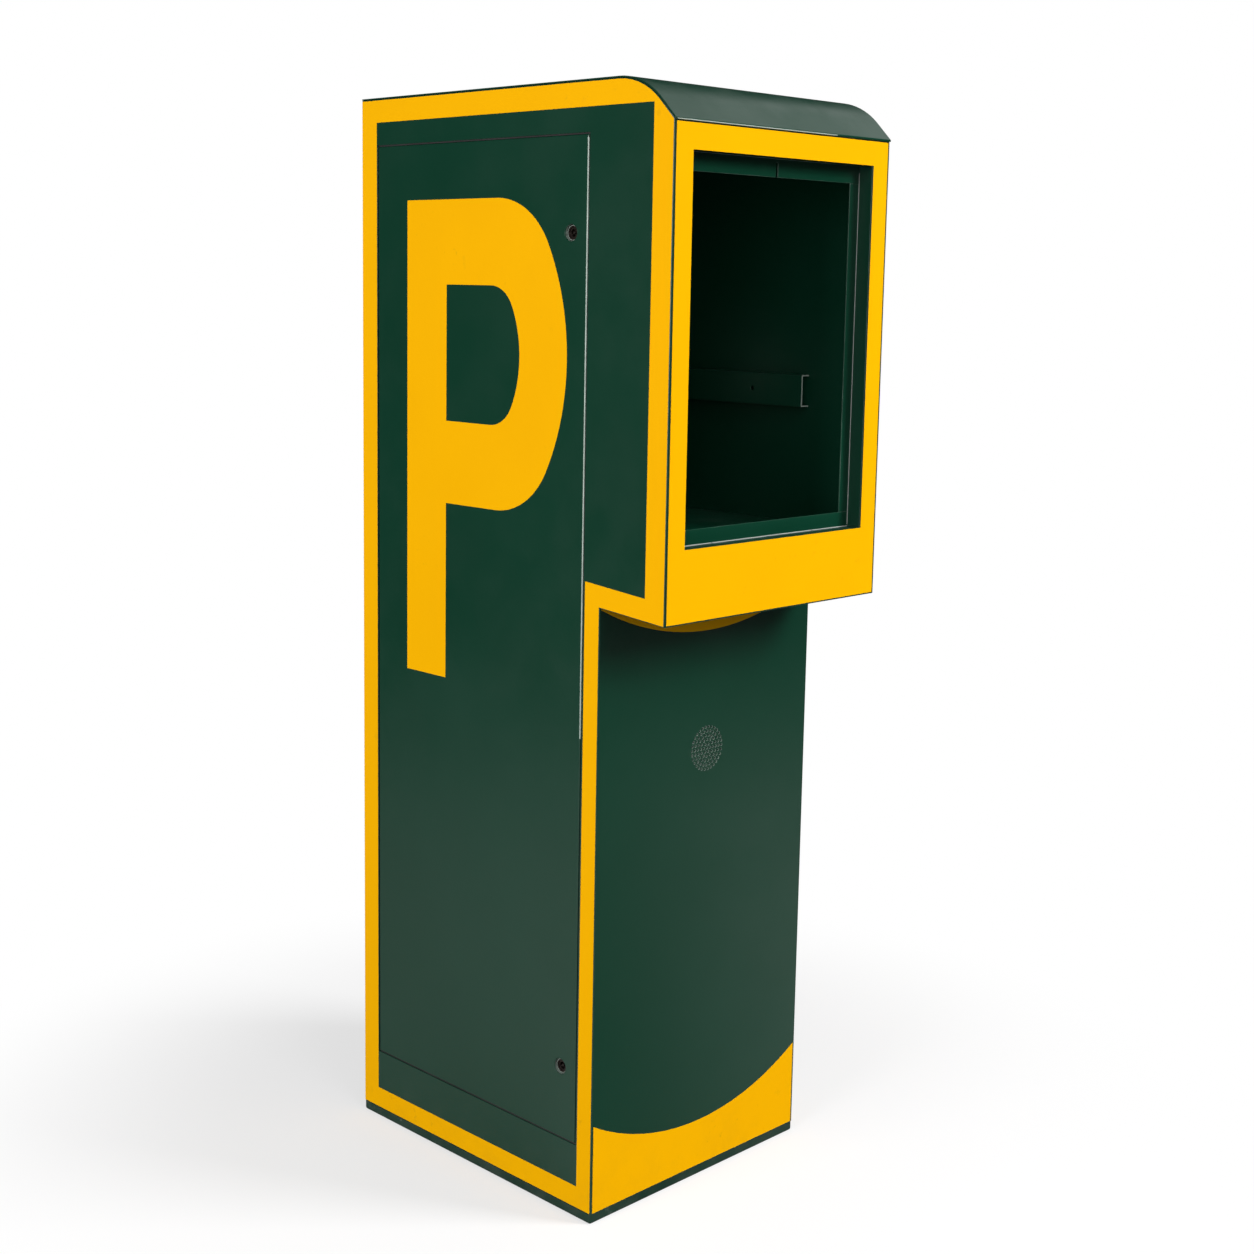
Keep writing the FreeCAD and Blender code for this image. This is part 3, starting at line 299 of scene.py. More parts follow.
class Effects:
    """The effects that more than one finish uses."""

    def __init__(self) -> None:
        """Builds every group once."""
        self.mottle = self._mottle()
        self.peel = self._peel()
        self.rub_and_sheen = self._rub_and_sheen()
        self.dust = self._dust()
        self.brushing = self._brushing()
        self.specks = self._specks()

    @staticmethod
    def _mottle() -> EffectGroup:
        """Soft clouds, as a mask."""
        group = EffectGroup("soft_mottle", {"Scale": 4.0}, "Mask")
        cloud = group.bench.noise(group.inputs["Scale"], detail=4.0, roughness=0.55)
        group.put_out(group.bench.ramp(cloud, 0.3, 0.7))
        return group

    @staticmethod
    def _peel() -> EffectGroup:
        """The ripple of a sprayed and baked coat, as a height."""
        group = EffectGroup("sprayed_coat", {"Scale": 260.0}, "Height")
        ripple = group.bench.noise(group.inputs["Scale"], detail=1.0)
        finer = group.bench.math("MULTIPLY", group.inputs["Scale"], 4.0)
        grit = group.bench.math("MULTIPLY", group.bench.noise(finer, detail=1.0), 0.2)
        group.put_out(group.bench.math("ADD", ripple, grit))
        return group

    @staticmethod
    def _rub_and_sheen() -> EffectGroup:
        """Rubbed edges and a painted edge sheen, as a mask: where the rounded normal leaves the true one,
        broken up by noise that never falls below 0.3, so that every edge keeps a faint painted highlight.
        """
        group = EffectGroup("edge_rub_and_sheen", {"Radius": 0.0012}, "Mask")
        bench = group.bench
        rounded = bench.add("ShaderNodeBevel", {"Radius": group.inputs["Radius"]}, samples=4)
        true = bench.add("ShaderNodeNewGeometry").outputs["Normal"]
        inputs = {0: rounded.outputs[0], 1: true}
        likeness = bench.add("ShaderNodeVectorMath", inputs, operation="DOT_PRODUCT").outputs["Value"]
        edge = bench.ramp(likeness, 0.97, 0.75)
        # The floor of 0.3 is painted highlight: a faint pale line along every rounded edge.
        patches = bench.ramp(bench.noise(38.0, detail=5.0), 0.45, 0.70, to_low=0.3)
        group.put_out(bench.math("MULTIPLY", edge, patches))
        return group

    @staticmethod
    def _dust() -> EffectGroup:
        """Dust, as a mask: on faces that look up, and fading away above the floor."""
        group = EffectGroup("settled_dust", {"Fade height": 0.12}, "Mask")
        bench = group.bench
        normal = bench.add("ShaderNodeNewGeometry").outputs["Normal"]
        upward = bench.ramp(bench.add("ShaderNodeSeparateXYZ", {0: normal}).outputs["Z"], 0.5, 1.0)
        place = bench.add("ShaderNodeTexCoord").outputs["Object"]
        height = bench.add("ShaderNodeSeparateXYZ", {0: place}).outputs["Z"]
        share = bench.math("DIVIDE", height, group.inputs["Fade height"])
        near_floor = bench.math("SUBTRACT", 1.0, share, clamp=True)
        patches = bench.ramp(bench.noise(22.0, detail=6.0, roughness=0.65), 0.4, 0.75)
        either = bench.math("MAXIMUM", bench.math("MULTIPLY", upward, 0.6), near_floor)
        group.put_out(bench.math("MULTIPLY", either, patches))
        return group

    @staticmethod
    def _brushing() -> EffectGroup:
        """Drawn or rolled lines along Z, as a height."""
        group = EffectGroup("drawn_lines", {"Scale": 900.0, "Stretch": 0.02}, "Height")
        bench = group.bench
        place = bench.add("ShaderNodeTexCoord").outputs["Object"]
        stretch = bench.add("ShaderNodeCombineXYZ", {0: 1.0, 1: 1.0, 2: group.inputs["Stretch"]}).outputs[0]
        drawn = bench.add("ShaderNodeVectorMath", {0: place, 1: stretch}, operation="MULTIPLY").outputs[0]
        group.put_out(bench.noise(group.inputs["Scale"], detail=2.0, vector=drawn))
        return group

    @staticmethod
    def _specks() -> EffectGroup:
        """Scattered small marks, as a mask."""
        group = EffectGroup("small_marks", {"Scale": 30.0}, "Mask")
        bench = group.bench
        marks = bench.ramp(bench.noise(group.inputs["Scale"], detail=8.0, roughness=0.7), 0.60, 0.68)
        group.put_out(bench.math("MULTIPLY", marks, bench.ramp(bench.noise(3.5), 0.5, 0.65)))
        return group


# ---- Finishes -----------------------------------------------------------------------------------


def opaque(colour: Colour) -> tuple[float, float, float, float]:
    """A colour with full alpha."""
    return (*colour, 1.0)


@dataclass(frozen=True)
class Finish:
    """What every finish has: a material with one Principled shader, filled in by its own method."""

    slot: Slot
    colour: Colour
    second: Colour
    roughness: float
    name_end: str = ""

    def make(self, effects: Effects) -> bpy.types.Material:
        """Builds the material.

        Args:
            effects: The shared node groups.

        Returns:
            The finished material.
        """
        material = bpy.data.materials.new(self.slot.value + self.name_end)
        material.use_nodes = True
        material.diffuse_color = opaque(self.colour)
        bench = NodeBench(material.node_tree)
        shader = material.node_tree.nodes["Principled BSDF"]
        self.dress(bench, shader, effects)
        return material

    def dress(self, bench: NodeBench, shader: bpy.types.Node, effects: Effects) -> None:
        """Feeds the shader. Each kind of finish has its own way."""
        raise NotImplementedError

    def uneven(self, bench: NodeBench, clouds: bpy.types.NodeSocket, amount: float) -> bpy.types.NodeSocket:
        """The finish's roughness, and up to an amount more where the clouds are."""
        return bench.math("MULTIPLY_ADD", clouds, amount, self.roughness)

    def bump(self, bench: NodeBench, shader: bpy.types.Node, height: bpy.types.NodeSocket,
             depth: float) -> None:
        """Feeds the shader's normal from a height.

        Args:
            bench: The material's bench.
            shader: The Principled shader.
            height: The height's socket.
            depth: How deep a height of 1 is.
        """
        node = bench.add("ShaderNodeBump", {"Height": height, "Distance": depth, "Strength": 1.0})
        bench.feed(shader, "Normal", node.outputs[0])


@dataclass(frozen=True)
class BakedPaint(Finish):
    """Sprayed and baked coat on sheet steel, with a little dust and worn edges that also carry a painted
    highlight.
    """

    # Pale colour of the worn edges and of the painted highlight along them.
    rub_and_sheen_colour: Colour = (0.10, 0.16, 0.13)
    rub_and_sheen_share: float = 0.55
    rub_and_sheen_radius: float = 0.0010
    dust: Colour = (0.16, 0.17, 0.15)
    dust_share: float = 0.10
    dust_height: float = 0.10
    marks: Colour = (0.16, 0.21, 0.18)
    marks_share: float = 0.0
    ripple: float = 0.00006
    gloss: float = 0.5

    def dress(self, bench: NodeBench, shader: bpy.types.Node, effects: Effects) -> None:
        """Two close shades in soft clouds, then dust, marks, worn edges with their painted highlight, and the
        coat's ripple.
        """
        cloud = effects.mottle.use(bench, scale=3.0)
        colour = bench.mix(cloud, opaque(self.colour), opaque(self.second))
        dust = effects.dust.use(bench, fade_height=self.dust_height)
        colour = bench.mix(bench.math("MULTIPLY", dust, self.dust_share), colour, opaque(self.dust))
        marks = bench.math("MULTIPLY", effects.specks.use(bench, scale=26.0), self.marks_share)
        colour = bench.mix(marks, colour, opaque(self.marks))
        # Worn edges and the painted highlight on them, mixed in one pale colour.
        rub_and_sheen = bench.math("MULTIPLY", effects.rub_and_sheen.use(bench, radius=self.rub_and_sheen_radius), self.rub_and_sheen_share)
        colour = bench.mix(rub_and_sheen, colour, opaque(self.rub_and_sheen_colour))
        bench.feed(shader, "Base Color", colour)
        smears = effects.mottle.use(bench, scale=9.0)
        rough = self.uneven(bench, smears, 0.07)
        rough = bench.math("ADD", rough, bench.math("MULTIPLY", dust, 0.25), clamp=True)
        bench.feed(shader, "Roughness", rough)
        shader.inputs["Specular IOR Level"].default_value = self.gloss
        self.bump(bench, shader, effects.peel.use(bench, scale=330.0), self.ripple)


@dataclass(frozen=True)
class StuckFilm(Finish):
    """Cast coloured film stuck on the paint, with faint patches and some dirt near the floor."""

    dirt: Colour = (0.33, 0.17, 0.015)
    dirt_share: float = 0.10
    dirt_height: float = 0.16
    gloss: float = 0.04

    def dress(self, bench: NodeBench, shader: bpy.types.Node, effects: Effects) -> None:
        """Two close shades, dirt low down, small marks and a fine surface."""
        cloud = effects.mottle.use(bench, scale=5.0)
        colour = bench.mix(cloud, opaque(self.colour), opaque(self.second))
        dirt = bench.math("MULTIPLY", effects.dust.use(bench, fade_height=self.dirt_height), self.dirt_share)
        colour = bench.mix(dirt, colour, opaque(self.dirt))
        specks = bench.math("MULTIPLY", effects.specks.use(bench, scale=55.0), 0.22)
        colour = bench.mix(specks, colour, opaque(self.dirt))
        bench.feed(shader, "Base Color", colour)
        smears = effects.mottle.use(bench, scale=12.0)
        bench.feed(shader, "Roughness", self.uneven(bench, smears, 0.08))
        shader.inputs["Specular IOR Level"].default_value = self.gloss
        self.bump(bench, shader, effects.peel.use(bench, scale=700.0), 0.00002)


@dataclass(frozen=True)
class BareMetal(Finish):
    """Plated, cast or rolled metal with drawn lines, stains and brighter edges, worn and with a painted
    sheen.
    """

    lines: float = 0.00002
    stains: float = 0.12
    metallic: float = 1.0

    def dress(self, bench: NodeBench, shader: bpy.types.Node, effects: Effects) -> None:
        """Metal in two tones, with its brightness up on the edges, as wear and as a painted sheen, and its
        gloss uneven.
        """
        cloud = effects.mottle.use(bench, scale=26.0)
        colour = bench.mix(cloud, opaque(self.colour), opaque(self.second))
        bright_edge_and_sheen = tuple(min(1.0, 1.35 * channel + 0.04) for channel in self.colour)
        rub_and_sheen = bench.math("MULTIPLY", effects.rub_and_sheen.use(bench, radius=0.0006), 0.7)
        colour = bench.mix(rub_and_sheen, colour, opaque(bright_edge_and_sheen))
        bench.feed(shader, "Base Color", colour)
        shader.inputs["Metallic"].default_value = self.metallic
        smears = effects.mottle.use(bench, scale=48.0)
        bench.feed(shader, "Roughness", self.uneven(bench, smears, self.stains))
        self.bump(bench, shader, effects.brushing.use(bench, scale=1100.0, stretch=0.03), self.lines)


@dataclass(frozen=True)
class Moulding(Finish):
    """Moulded plastic or rubber with a spark-eroded grain."""

    grain: float = 0.00004
    grain_scale: float = 1500.0
    bloom: float = 0.10

    def dress(self, bench: NodeBench, shader: bpy.types.Node, effects: Effects) -> None:
        """One shade with a pale bloom in patches, dust on top, worn edges with a painted sheen and a fine
        grain.
        """
        cloud = bench.math("MULTIPLY", effects.mottle.use(bench, scale=14.0), self.bloom * 4.0)
        colour = bench.mix(cloud, opaque(self.colour), opaque(self.second))
        dust = bench.math("MULTIPLY", effects.dust.use(bench, fade_height=0.02), 0.12)
        colour = bench.mix(dust, colour, opaque((0.28, 0.27, 0.25)))
        rub_and_sheen = bench.math("MULTIPLY", effects.rub_and_sheen.use(bench, radius=0.0005), 0.3)
        colour = bench.mix(rub_and_sheen, colour, opaque(self.second))
        bench.feed(shader, "Base Color", colour)
        smears = effects.mottle.use(bench, scale=30.0)
        bench.feed(shader, "Roughness", self.uneven(bench, smears, 0.12))
        self.bump(bench, shader, effects.peel.use(bench, scale=self.grain_scale), self.grain)


@dataclass(frozen=True)
class WoundPaper(Finish):
    """Ticket paper wound on a roll: fine rings on its ends and soft fibres on its face."""

    roll_axis: tuple[float, float] = (0.142, 1.183)     # the spindle's Y and Z
    layer: float = 0.0009

    def dress(self, bench: NodeBench, shader: bpy.types.Node, effects: Effects) -> None:
        """Rings round the roll's own axis, with fibres over them."""
        place = bench.add("ShaderNodeTexCoord").outputs["Object"]
        inputs = {0: place, 1: (0.0, -self.roll_axis[0], -self.roll_axis[1])}
        moved = bench.add("ShaderNodeVectorMath", inputs, operation="ADD").outputs[0]
        inputs = {0: moved, 1: (0.0, 1.0, 1.0)}
        flat = bench.add("ShaderNodeVectorMath", inputs, operation="MULTIPLY").outputs[0]
        radius = bench.add("ShaderNodeVectorMath", {0: flat}, operation="LENGTH").outputs["Value"]
        wave = bench.math("SINE", bench.math("MULTIPLY", radius, math.tau / self.layer))
        rings = bench.math("MULTIPLY_ADD", wave, 0.18, 0.3)
        fibres = bench.math("MULTIPLY", effects.mottle.use(bench, scale=160.0), 0.25)
        share = bench.math("ADD", rings, fibres, clamp=True)
        colour = bench.mix(share, opaque(self.colour), opaque(self.second))
        bench.feed(shader, "Base Color", colour)
        shader.inputs["Roughness"].default_value = self.roughness
        height = bench.math("ADD", rings, bench.math("MULTIPLY", effects.peel.use(bench, scale=900.0), 0.6))
        self.bump(bench, shader, height, 0.00008)


GREEN: Colour = (0.0018, 0.0375, 0.0190)
PALER_GREEN: Colour = (0.0030, 0.0415, 0.0220)

FINISHES: tuple[Finish, ...] = (
    BakedPaint(Slot.GREEN_PAINT, GREEN, PALER_GREEN, 0.30, rub_and_sheen_share=0.2, rub_and_sheen_radius=0.0003),
    BakedPaint(Slot.PLINTH_PAINT, (0.0022, 0.0270, 0.0150), (0.0050, 0.0340, 0.0200), 0.42,
               rub_and_sheen_share=0.9, dust_share=0.2, dust_height=0.03, marks_share=0.6),
    StuckFilm(Slot.YELLOW_FILM, (0.9800, 0.4800, 0.0002), (0.9600, 0.4650, 0.0003), 0.50),
    BareMetal(Slot.ZINC_STEEL, (0.52, 0.52, 0.50), (0.40, 0.41, 0.42), 0.34),
    BareMetal(Slot.LOCK_STEEL, (0.42, 0.50, 0.45), (0.32, 0.39, 0.35), 0.34, metallic=0.3),
    BareMetal(Slot.LOCK_DARK, (0.035, 0.024, 0.020), (0.020, 0.015, 0.013), 0.34, metallic=0.6),
    BakedPaint(Slot.VAULT_PAINT, (0.050, 0.053, 0.057), (0.062, 0.066, 0.070), 0.48,
               rub_and_sheen_colour=(0.35, 0.35, 0.35), rub_and_sheen_share=0.7, ripple=0.0001),
    Moulding(Slot.SEAL_RUBBER, (0.012, 0.012, 0.012), (0.040, 0.040, 0.040), 0.62),
    Moulding(Slot.BLACK_PLASTIC, (0.015, 0.015, 0.016), (0.030, 0.030, 0.031), 0.42),
    Moulding(Slot.GREY_PLASTIC, (0.36, 0.37, 0.36), (0.46, 0.46, 0.44), 0.45),
    BareMetal(Slot.ALUMINIUM_CASE, (0.66, 0.67, 0.68), (0.55, 0.56, 0.57), 0.36, lines=0.00003),
    BareMetal(Slot.BASKET_METAL, (0.16, 0.16, 0.17), (0.11, 0.11, 0.12), 0.45),
    WoundPaper(Slot.PAPER, (0.83, 0.81, 0.74), (0.62, 0.59, 0.52), 0.75),
)

HIGHLIGHT_AND_BARE_FINISHES: dict[WearAndHighlight, Finish] = {
    # A painted highlight: a pale, broken line on every rounded edge.
    WearAndHighlight.PAINTED_EDGE_HIGHLIGHTS: BakedPaint(Slot.GREEN_PAINT, GREEN, PALER_GREEN, 0.30, name_end="_highlit_edges",
                                rub_and_sheen_share=1.0, rub_and_sheen_colour=(0.24, 0.32, 0.28), rub_and_sheen_radius=0.0016),
    # Bare metal, also used to paint highlights on thin rods and strips.
    WearAndHighlight.BARE_AND_HIGHLIGHT: BareMetal(Slot.ZINC_STEEL, (0.45, 0.52, 0.47), (0.36, 0.43, 0.38), 0.40,
                         name_end="_bare", metallic=0.1),
}


# ---- The bench where pieces are made -------------------------------------------------------------


class Workpiece:
    """One piece in the making, in its own place."""

    def __init__(self) -> None:
        """Starts empty."""
        self.mesh = bmesh.new()

    @classmethod
    def copied(cls, node: str) -> "Workpiece":
        """Starts from a copy of a CAD node, merged and with its flat faces whole again."""
        piece = cls()
        piece.mesh.from_mesh(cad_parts[node].data)
        bmesh.ops.remove_doubles(piece.mesh, verts=piece.mesh.verts, dist=SAME_POINT)
        bmesh.ops.dissolve_limit(piece.mesh, angle_limit=FLAT, use_dissolve_boundaries=False,
                                 verts=piece.mesh.verts, edges=piece.mesh.edges)
        return piece

    def rounded(self, radius: float, segments: int = 2,
                where: Optional[Callable[[Vector], bool]] = None) -> "Workpiece":
        """Rounds the sharp edges.

        Args:
            radius: Size of the rounding.
            segments: Faces across it.
            where: Takes an edge's middle and says whether the edge is rounded. None rounds them all.

        Returns:
            This piece.
        """
        chosen = []
        for edge in self.mesh.edges:
            if not edge.is_manifold or edge.calc_face_angle(0.0) < FOLD_ANGLE:
                continue
            middle = (edge.verts[0].co + edge.verts[1].co) / 2
            if where is None or where(middle):
                chosen.append(edge)
        bmesh.ops.bevel(self.mesh, geom=chosen, offset=radius, offset_type="OFFSET", segments=segments,
                        profile=0.5, affect="EDGES", clamp_overlap=False, material=-1)
        return self

    def take(self, other: bmesh.types.BMesh, place: Matrix) -> "Workpiece":
        """Adds another shape.

        Args:
            other: The shape, which is used up.
            place: Where it goes.

        Returns:
            This piece.
        """
        bmesh.ops.recalc_face_normals(other, faces=other.faces)
        bmesh.ops.transform(other, matrix=place, verts=other.verts)
        carrier = bpy.data.meshes.new("carrier")
        other.to_mesh(carrier)
        other.free()
        self.mesh.from_mesh(carrier)
        bpy.data.meshes.remove(carrier)
        return self

    def block(self, low: Point, high: Point, edge: float = 0.4 * MM, segments: int = 2) -> "Workpiece":
        """Adds a block with rounded edges.

        Args:
            low: Lowest corner.
            high: Highest corner.
            edge: Size of the rounding.
            segments: Faces across the rounding.

        Returns:
            This piece.
        """
        shape = bmesh.new()
        size = Vector(high) - Vector(low)
        bmesh.ops.create_cube(shape, size=1.0, matrix=Matrix.Diagonal((*size, 1.0)))
        self._soften(shape, edge, segments)
        return self.take(shape, Matrix.Translation((Vector(low) + Vector(high)) / 2))

    @staticmethod
    def _soften(shape: bmesh.types.BMesh, edge: float, segments: int) -> None:
        """Rounds every edge of a shape in the making."""
        bmesh.ops.bevel(shape, geom=shape.edges[:], offset=edge, offset_type="OFFSET", segments=segments,
                        profile=0.5, affect="EDGES", clamp_overlap=True, material=-1)

    def turned(self, outline: Outline, at: Point, run: Run, steps: int = 48,
               closed: bool = False) -> "Workpiece":
        """Adds a turned shape.

        Args:
            outline: Pairs of a radius and a distance along the axis.
            at: The axis's start.
            run: The axis's direction.
            steps: Faces round the axis.
            closed: Joins the outline's end to its start, for a ring or a tube.

        Returns:
            This piece.
        """
        shape = bmesh.new()
        verts = [shape.verts.new((radius, 0.0, along)) for radius, along in outline]
        pairs = list(zip(verts, verts[1:])) + ([(verts[-1], verts[0])] if closed else [])
        edges = [shape.edges.new(pair) for pair in pairs]
        bmesh.ops.spin(shape, geom=verts + edges, cent=(0, 0, 0), axis=(0, 0, 1), angle=math.tau,
                       steps=steps, use_merge=True)
        bmesh.ops.remove_doubles(shape, verts=shape.verts, dist=SAME_POINT)
        return self.take(shape, run.place(at))

    def rod(self, radius: float, length: float, at: Point, run: Run, edge: float = 0.3 * MM,
            steps: int = 32) -> "Workpiece":
        """Adds a round rod with chamfered ends.

        Args:
            radius: The rod's radius.
            length: The rod's length.
            at: The middle of its first end.
            run: The way it points.
            edge: Size of the chamfers.
            steps: Faces round it.

        Returns:
            This piece.
        """
        outline = [(0, 0), (radius - edge, 0), (radius, edge), (radius, length - edge),
                   (radius - edge, length), (0, length)]
        return self.turned(outline, at, run, steps)

    def prism(self, sides: int, radius: float, length: float, at: Point, run: Run,
              edge: float = 0.3 * MM) -> "Workpiece":
        """Adds a straight prism, such as a hexagon nut's body.

        Args:
            sides: Number of sides.
            radius: From the middle to a corner.
            length: The prism's length.
            at: The middle of its first end.
            run: The way it points.
            edge: Size of its rounding.

        Returns:
            This piece.
        """
        shape = bmesh.new()
        bmesh.ops.create_cone(shape, cap_ends=True, cap_tris=False, segments=sides, radius1=radius,
                              radius2=radius, depth=length, matrix=Matrix.Translation((0, 0, length / 2)))
        self._soften(shape, edge, 2)
        return self.take(shape, run.place(at))

    def tube(self, inner: float, outer: float, start: float, end: float, at: Point, run: Run,
             steps: int = 72) -> "Workpiece":
        """Adds a plain tube.

        Args:
            inner: Radius of its bore.
            outer: Its outer radius.
            start: From the axis's start to its first end.
            end: From the axis's start to its other end.
            at: The axis's start.
            run: The axis's direction.
            steps: Faces round it.

        Returns:
            This piece.
        """
        outline = [(inner, end), (inner, start), (outer, start), (outer, end)]
        return self.turned(outline, at, run, steps, closed=True)

    def screw(self, radius: float, at: Point, run: Run, steps: int = 20) -> "Workpiece":
        """Adds a domed screw head with a round socket.

        Args:
            radius: The head's radius.
            at: The middle of its seat.
            run: The way its head faces.
            steps: Faces round it.

        Returns:
            This piece.
        """
        tall = 0.55 * radius
        outline = [(0, 0), (radius, 0), (radius, 0.35 * tall), (0.85 * radius, 0.8 * tall),
                   (0.55 * radius, tall), (0.42 * radius, tall), (0.38 * radius, 0.4 * tall),
                   (0, 0.35 * tall)]
        return self.turned(outline, at, run, steps)


class Assembler:
    """Turns workpieces into finished objects that ride on their bodies."""

    def __init__(self) -> None:
        """Makes every finish."""
        effects = Effects()
        self.materials = {finish.slot: finish.make(effects) for finish in FINISHES}
        # Finishes for painted edge highlights and for bare metal, which also paints highlights.
        self.highlight_and_bare = {wear_and_highlight: finish.make(effects) for wear_and_highlight, finish in HIGHLIGHT_AND_BARE_FINISHES.items()}

    def fit(self, name: str, work: Workpiece, slot: Slot, body: Body = Body.CABINET, *nodes: str,
            wear_and_highlight: WearAndHighlight = WearAndHighlight.USUAL) -> bpy.types.Object:
        """Finishes a piece and fits it.

        Args:
            name: The piece's name.
            work: The shape, which is used up.
            slot: Its finish.
            body: What it moves with.
            nodes: CAD nodes that it stands for.
            wear_and_highlight: How worn it is, or which painted edge highlight or bare look it has.

        Returns:
            The new object.
        """
        mesh = bpy.data.meshes.new(name)
        work.mesh.to_mesh(mesh)
        work.mesh.free()
        mesh.shade_smooth()
        mesh.set_sharp_from_angle(angle=SMOOTH_ANGLE)
        mesh.materials.append(self.highlight_and_bare.get(wear_and_highlight, self.materials[slot]))
        piece = bpy.data.objects.new(name, mesh)
        bpy.context.scene.collection.objects.link(piece)
        level = piece.modifiers.new("level_faces", "WEIGHTED_NORMAL")
        level.keep_sharp = True
        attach(piece, body.value)
        if nodes:
            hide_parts(*nodes)
        log.info("%s: %d faces, %s, on %s", name, len(mesh.polygons), slot.value, body.value)
        return piece

    def refine(self, node: str, slot: Slot, edge: float, body: Body = Body.CABINET, segments: int = 2,
               wear_and_highlight: WearAndHighlight = WearAndHighlight.USUAL) -> None:
        """Replaces a CAD node with a copy whose edges are rounded.

        Args:
            node: The CAD node.
            slot: Its finish.
            edge: Size of the rounding.
            body: What it moves with.
            segments: Faces across the rounding.
            wear_and_highlight: How worn it is, or which painted edge highlight or bare look it has.
        """
        self.fit(node + "_made", Workpiece.copied(node).rounded(edge, segments), slot, body, node, wear_and_highlight=wear_and_highlight)


# ---- Sub-assemblies -------------------------------------------------------------------------------


@dataclass
class Casing:
    """The outer sheets: base plate, side panels, rear, pedestal front, head front, underside and roof."""

    shop: Assembler
    ground_corner: float = 1.6 * MM
    cut_edge: float = 0.4 * MM
    hole_rim: float = 0.15 * MM
    hem: float = 0.8 * MM
    # Radius of the pale rod that paints the highlight on the roof's front edge.
    drip_highlight: float = 0.8 * MM
    plinth_corner: float = 6.0 * MM
    plinth_foot: float = 4.0 * MM

    def build(self) -> None:
        """Makes every sheet."""
        self._plinth()
        self._side("left_side_panel", "left_cheek")
        self._side("right_side_panel", "right_cheek")
        for node in ("rear_panel", "head_front_panel", "head_underside"):
            self.shop.refine(node, Slot.GREEN_PAINT, self.cut_edge)
        self.shop.refine("pedestal_front_panel", Slot.GREEN_PAINT, self.hole_rim)
        self.shop.refine("roof_cover", Slot.GREEN_PAINT, self.hem, segments=3)
        # Painted highlight: a pale bare-metal rod along the roof's lower front edge, over the left 72 % of
        # its width, where the edge catches light.
        roof = Space.of("roof_cover")
        start = (roof.low.x + 3 * MM, roof.low.y + 0.2 * MM, roof.low.z + 1.4 * MM)
        drip_highlight = Workpiece().rod(self.drip_highlight, 0.72 * roof.size.x, start, Run.RIGHT, 0.3 * MM, 16)
        self.shop.fit("roof_edge_highlight", drip_highlight, Slot.ZINC_STEEL, wear_and_highlight=WearAndHighlight.BARE_AND_HIGHLIGHT)

    def _plinth(self) -> None:
        """The base plate, with its four corners cut round and its lower rim worn soft."""
        space = Space.of("base_plate")

        def at_corner(middle: Vector) -> bool:
            """True on the plate's four upright corners."""
            return (abs(abs(middle.x) - space.high.x) < SAME_POINT
                    and abs(abs(middle.y) - space.high.y) < SAME_POINT)

        def at_foot(middle: Vector) -> bool:
            """True round the foot of the outer wall."""
            near_wall = max(abs(middle.x) - space.high.x, abs(middle.y) - space.high.y)
            return middle.z < SAME_POINT and near_wall > -self.plinth_corner

        base = Workpiece.copied("base_plate").rounded(self.plinth_corner, 5, at_corner)
        base.rounded(self.plinth_foot, 4, at_foot).rounded(self.cut_edge)
        self.shop.fit("plinth_plate", base, Slot.PLINTH_PAINT, Body.CABINET, "base_plate")

    def _side(self, node: str, name: str) -> None:
        """A side panel, with its outer edges ground round where it is welded to its neighbours.

        Args:
            node: The panel's CAD node.
            name: The finished panel's name.
        """
        space = Space.of(node)
        outer = space.low.x if space.centre.x < 0 else space.high.x
        door = Space.of("door_skin")
        margin = 5 * MM

        def on_outline(middle: Vector) -> bool:
            """True on the outer face's rim, and not round the door opening."""
            inside = (door.low.y - margin < middle.y < door.high.y + margin
                      and door.low.z - margin < middle.z < door.high.z + margin)
            return abs(middle.x - outer) < SAME_POINT and not inside

        panel = Workpiece.copied(node).rounded(self.ground_corner, 4, on_outline).rounded(self.cut_edge)
        self.shop.fit(name, panel, Slot.GREEN_PAINT, Body.CABINET, node)


@dataclass
class Graphics:
    """The yellow film: borders, the front's frame, the two arcs and the parking letters."""

    shop: Assembler
    film_edge: float = 0.1 * MM

    def build(self) -> None:
        """Rounds each film's cut edge."""
        for node in ("left_border_decal", "right_side_decals", "head_front_decal", "pedestal_front_decals"):
            self.shop.refine(node, Slot.YELLOW_FILM, self.film_edge)
        self.shop.refine("door_letter_decal", Slot.YELLOW_FILM, self.film_edge, Body.SIDE_DOOR)


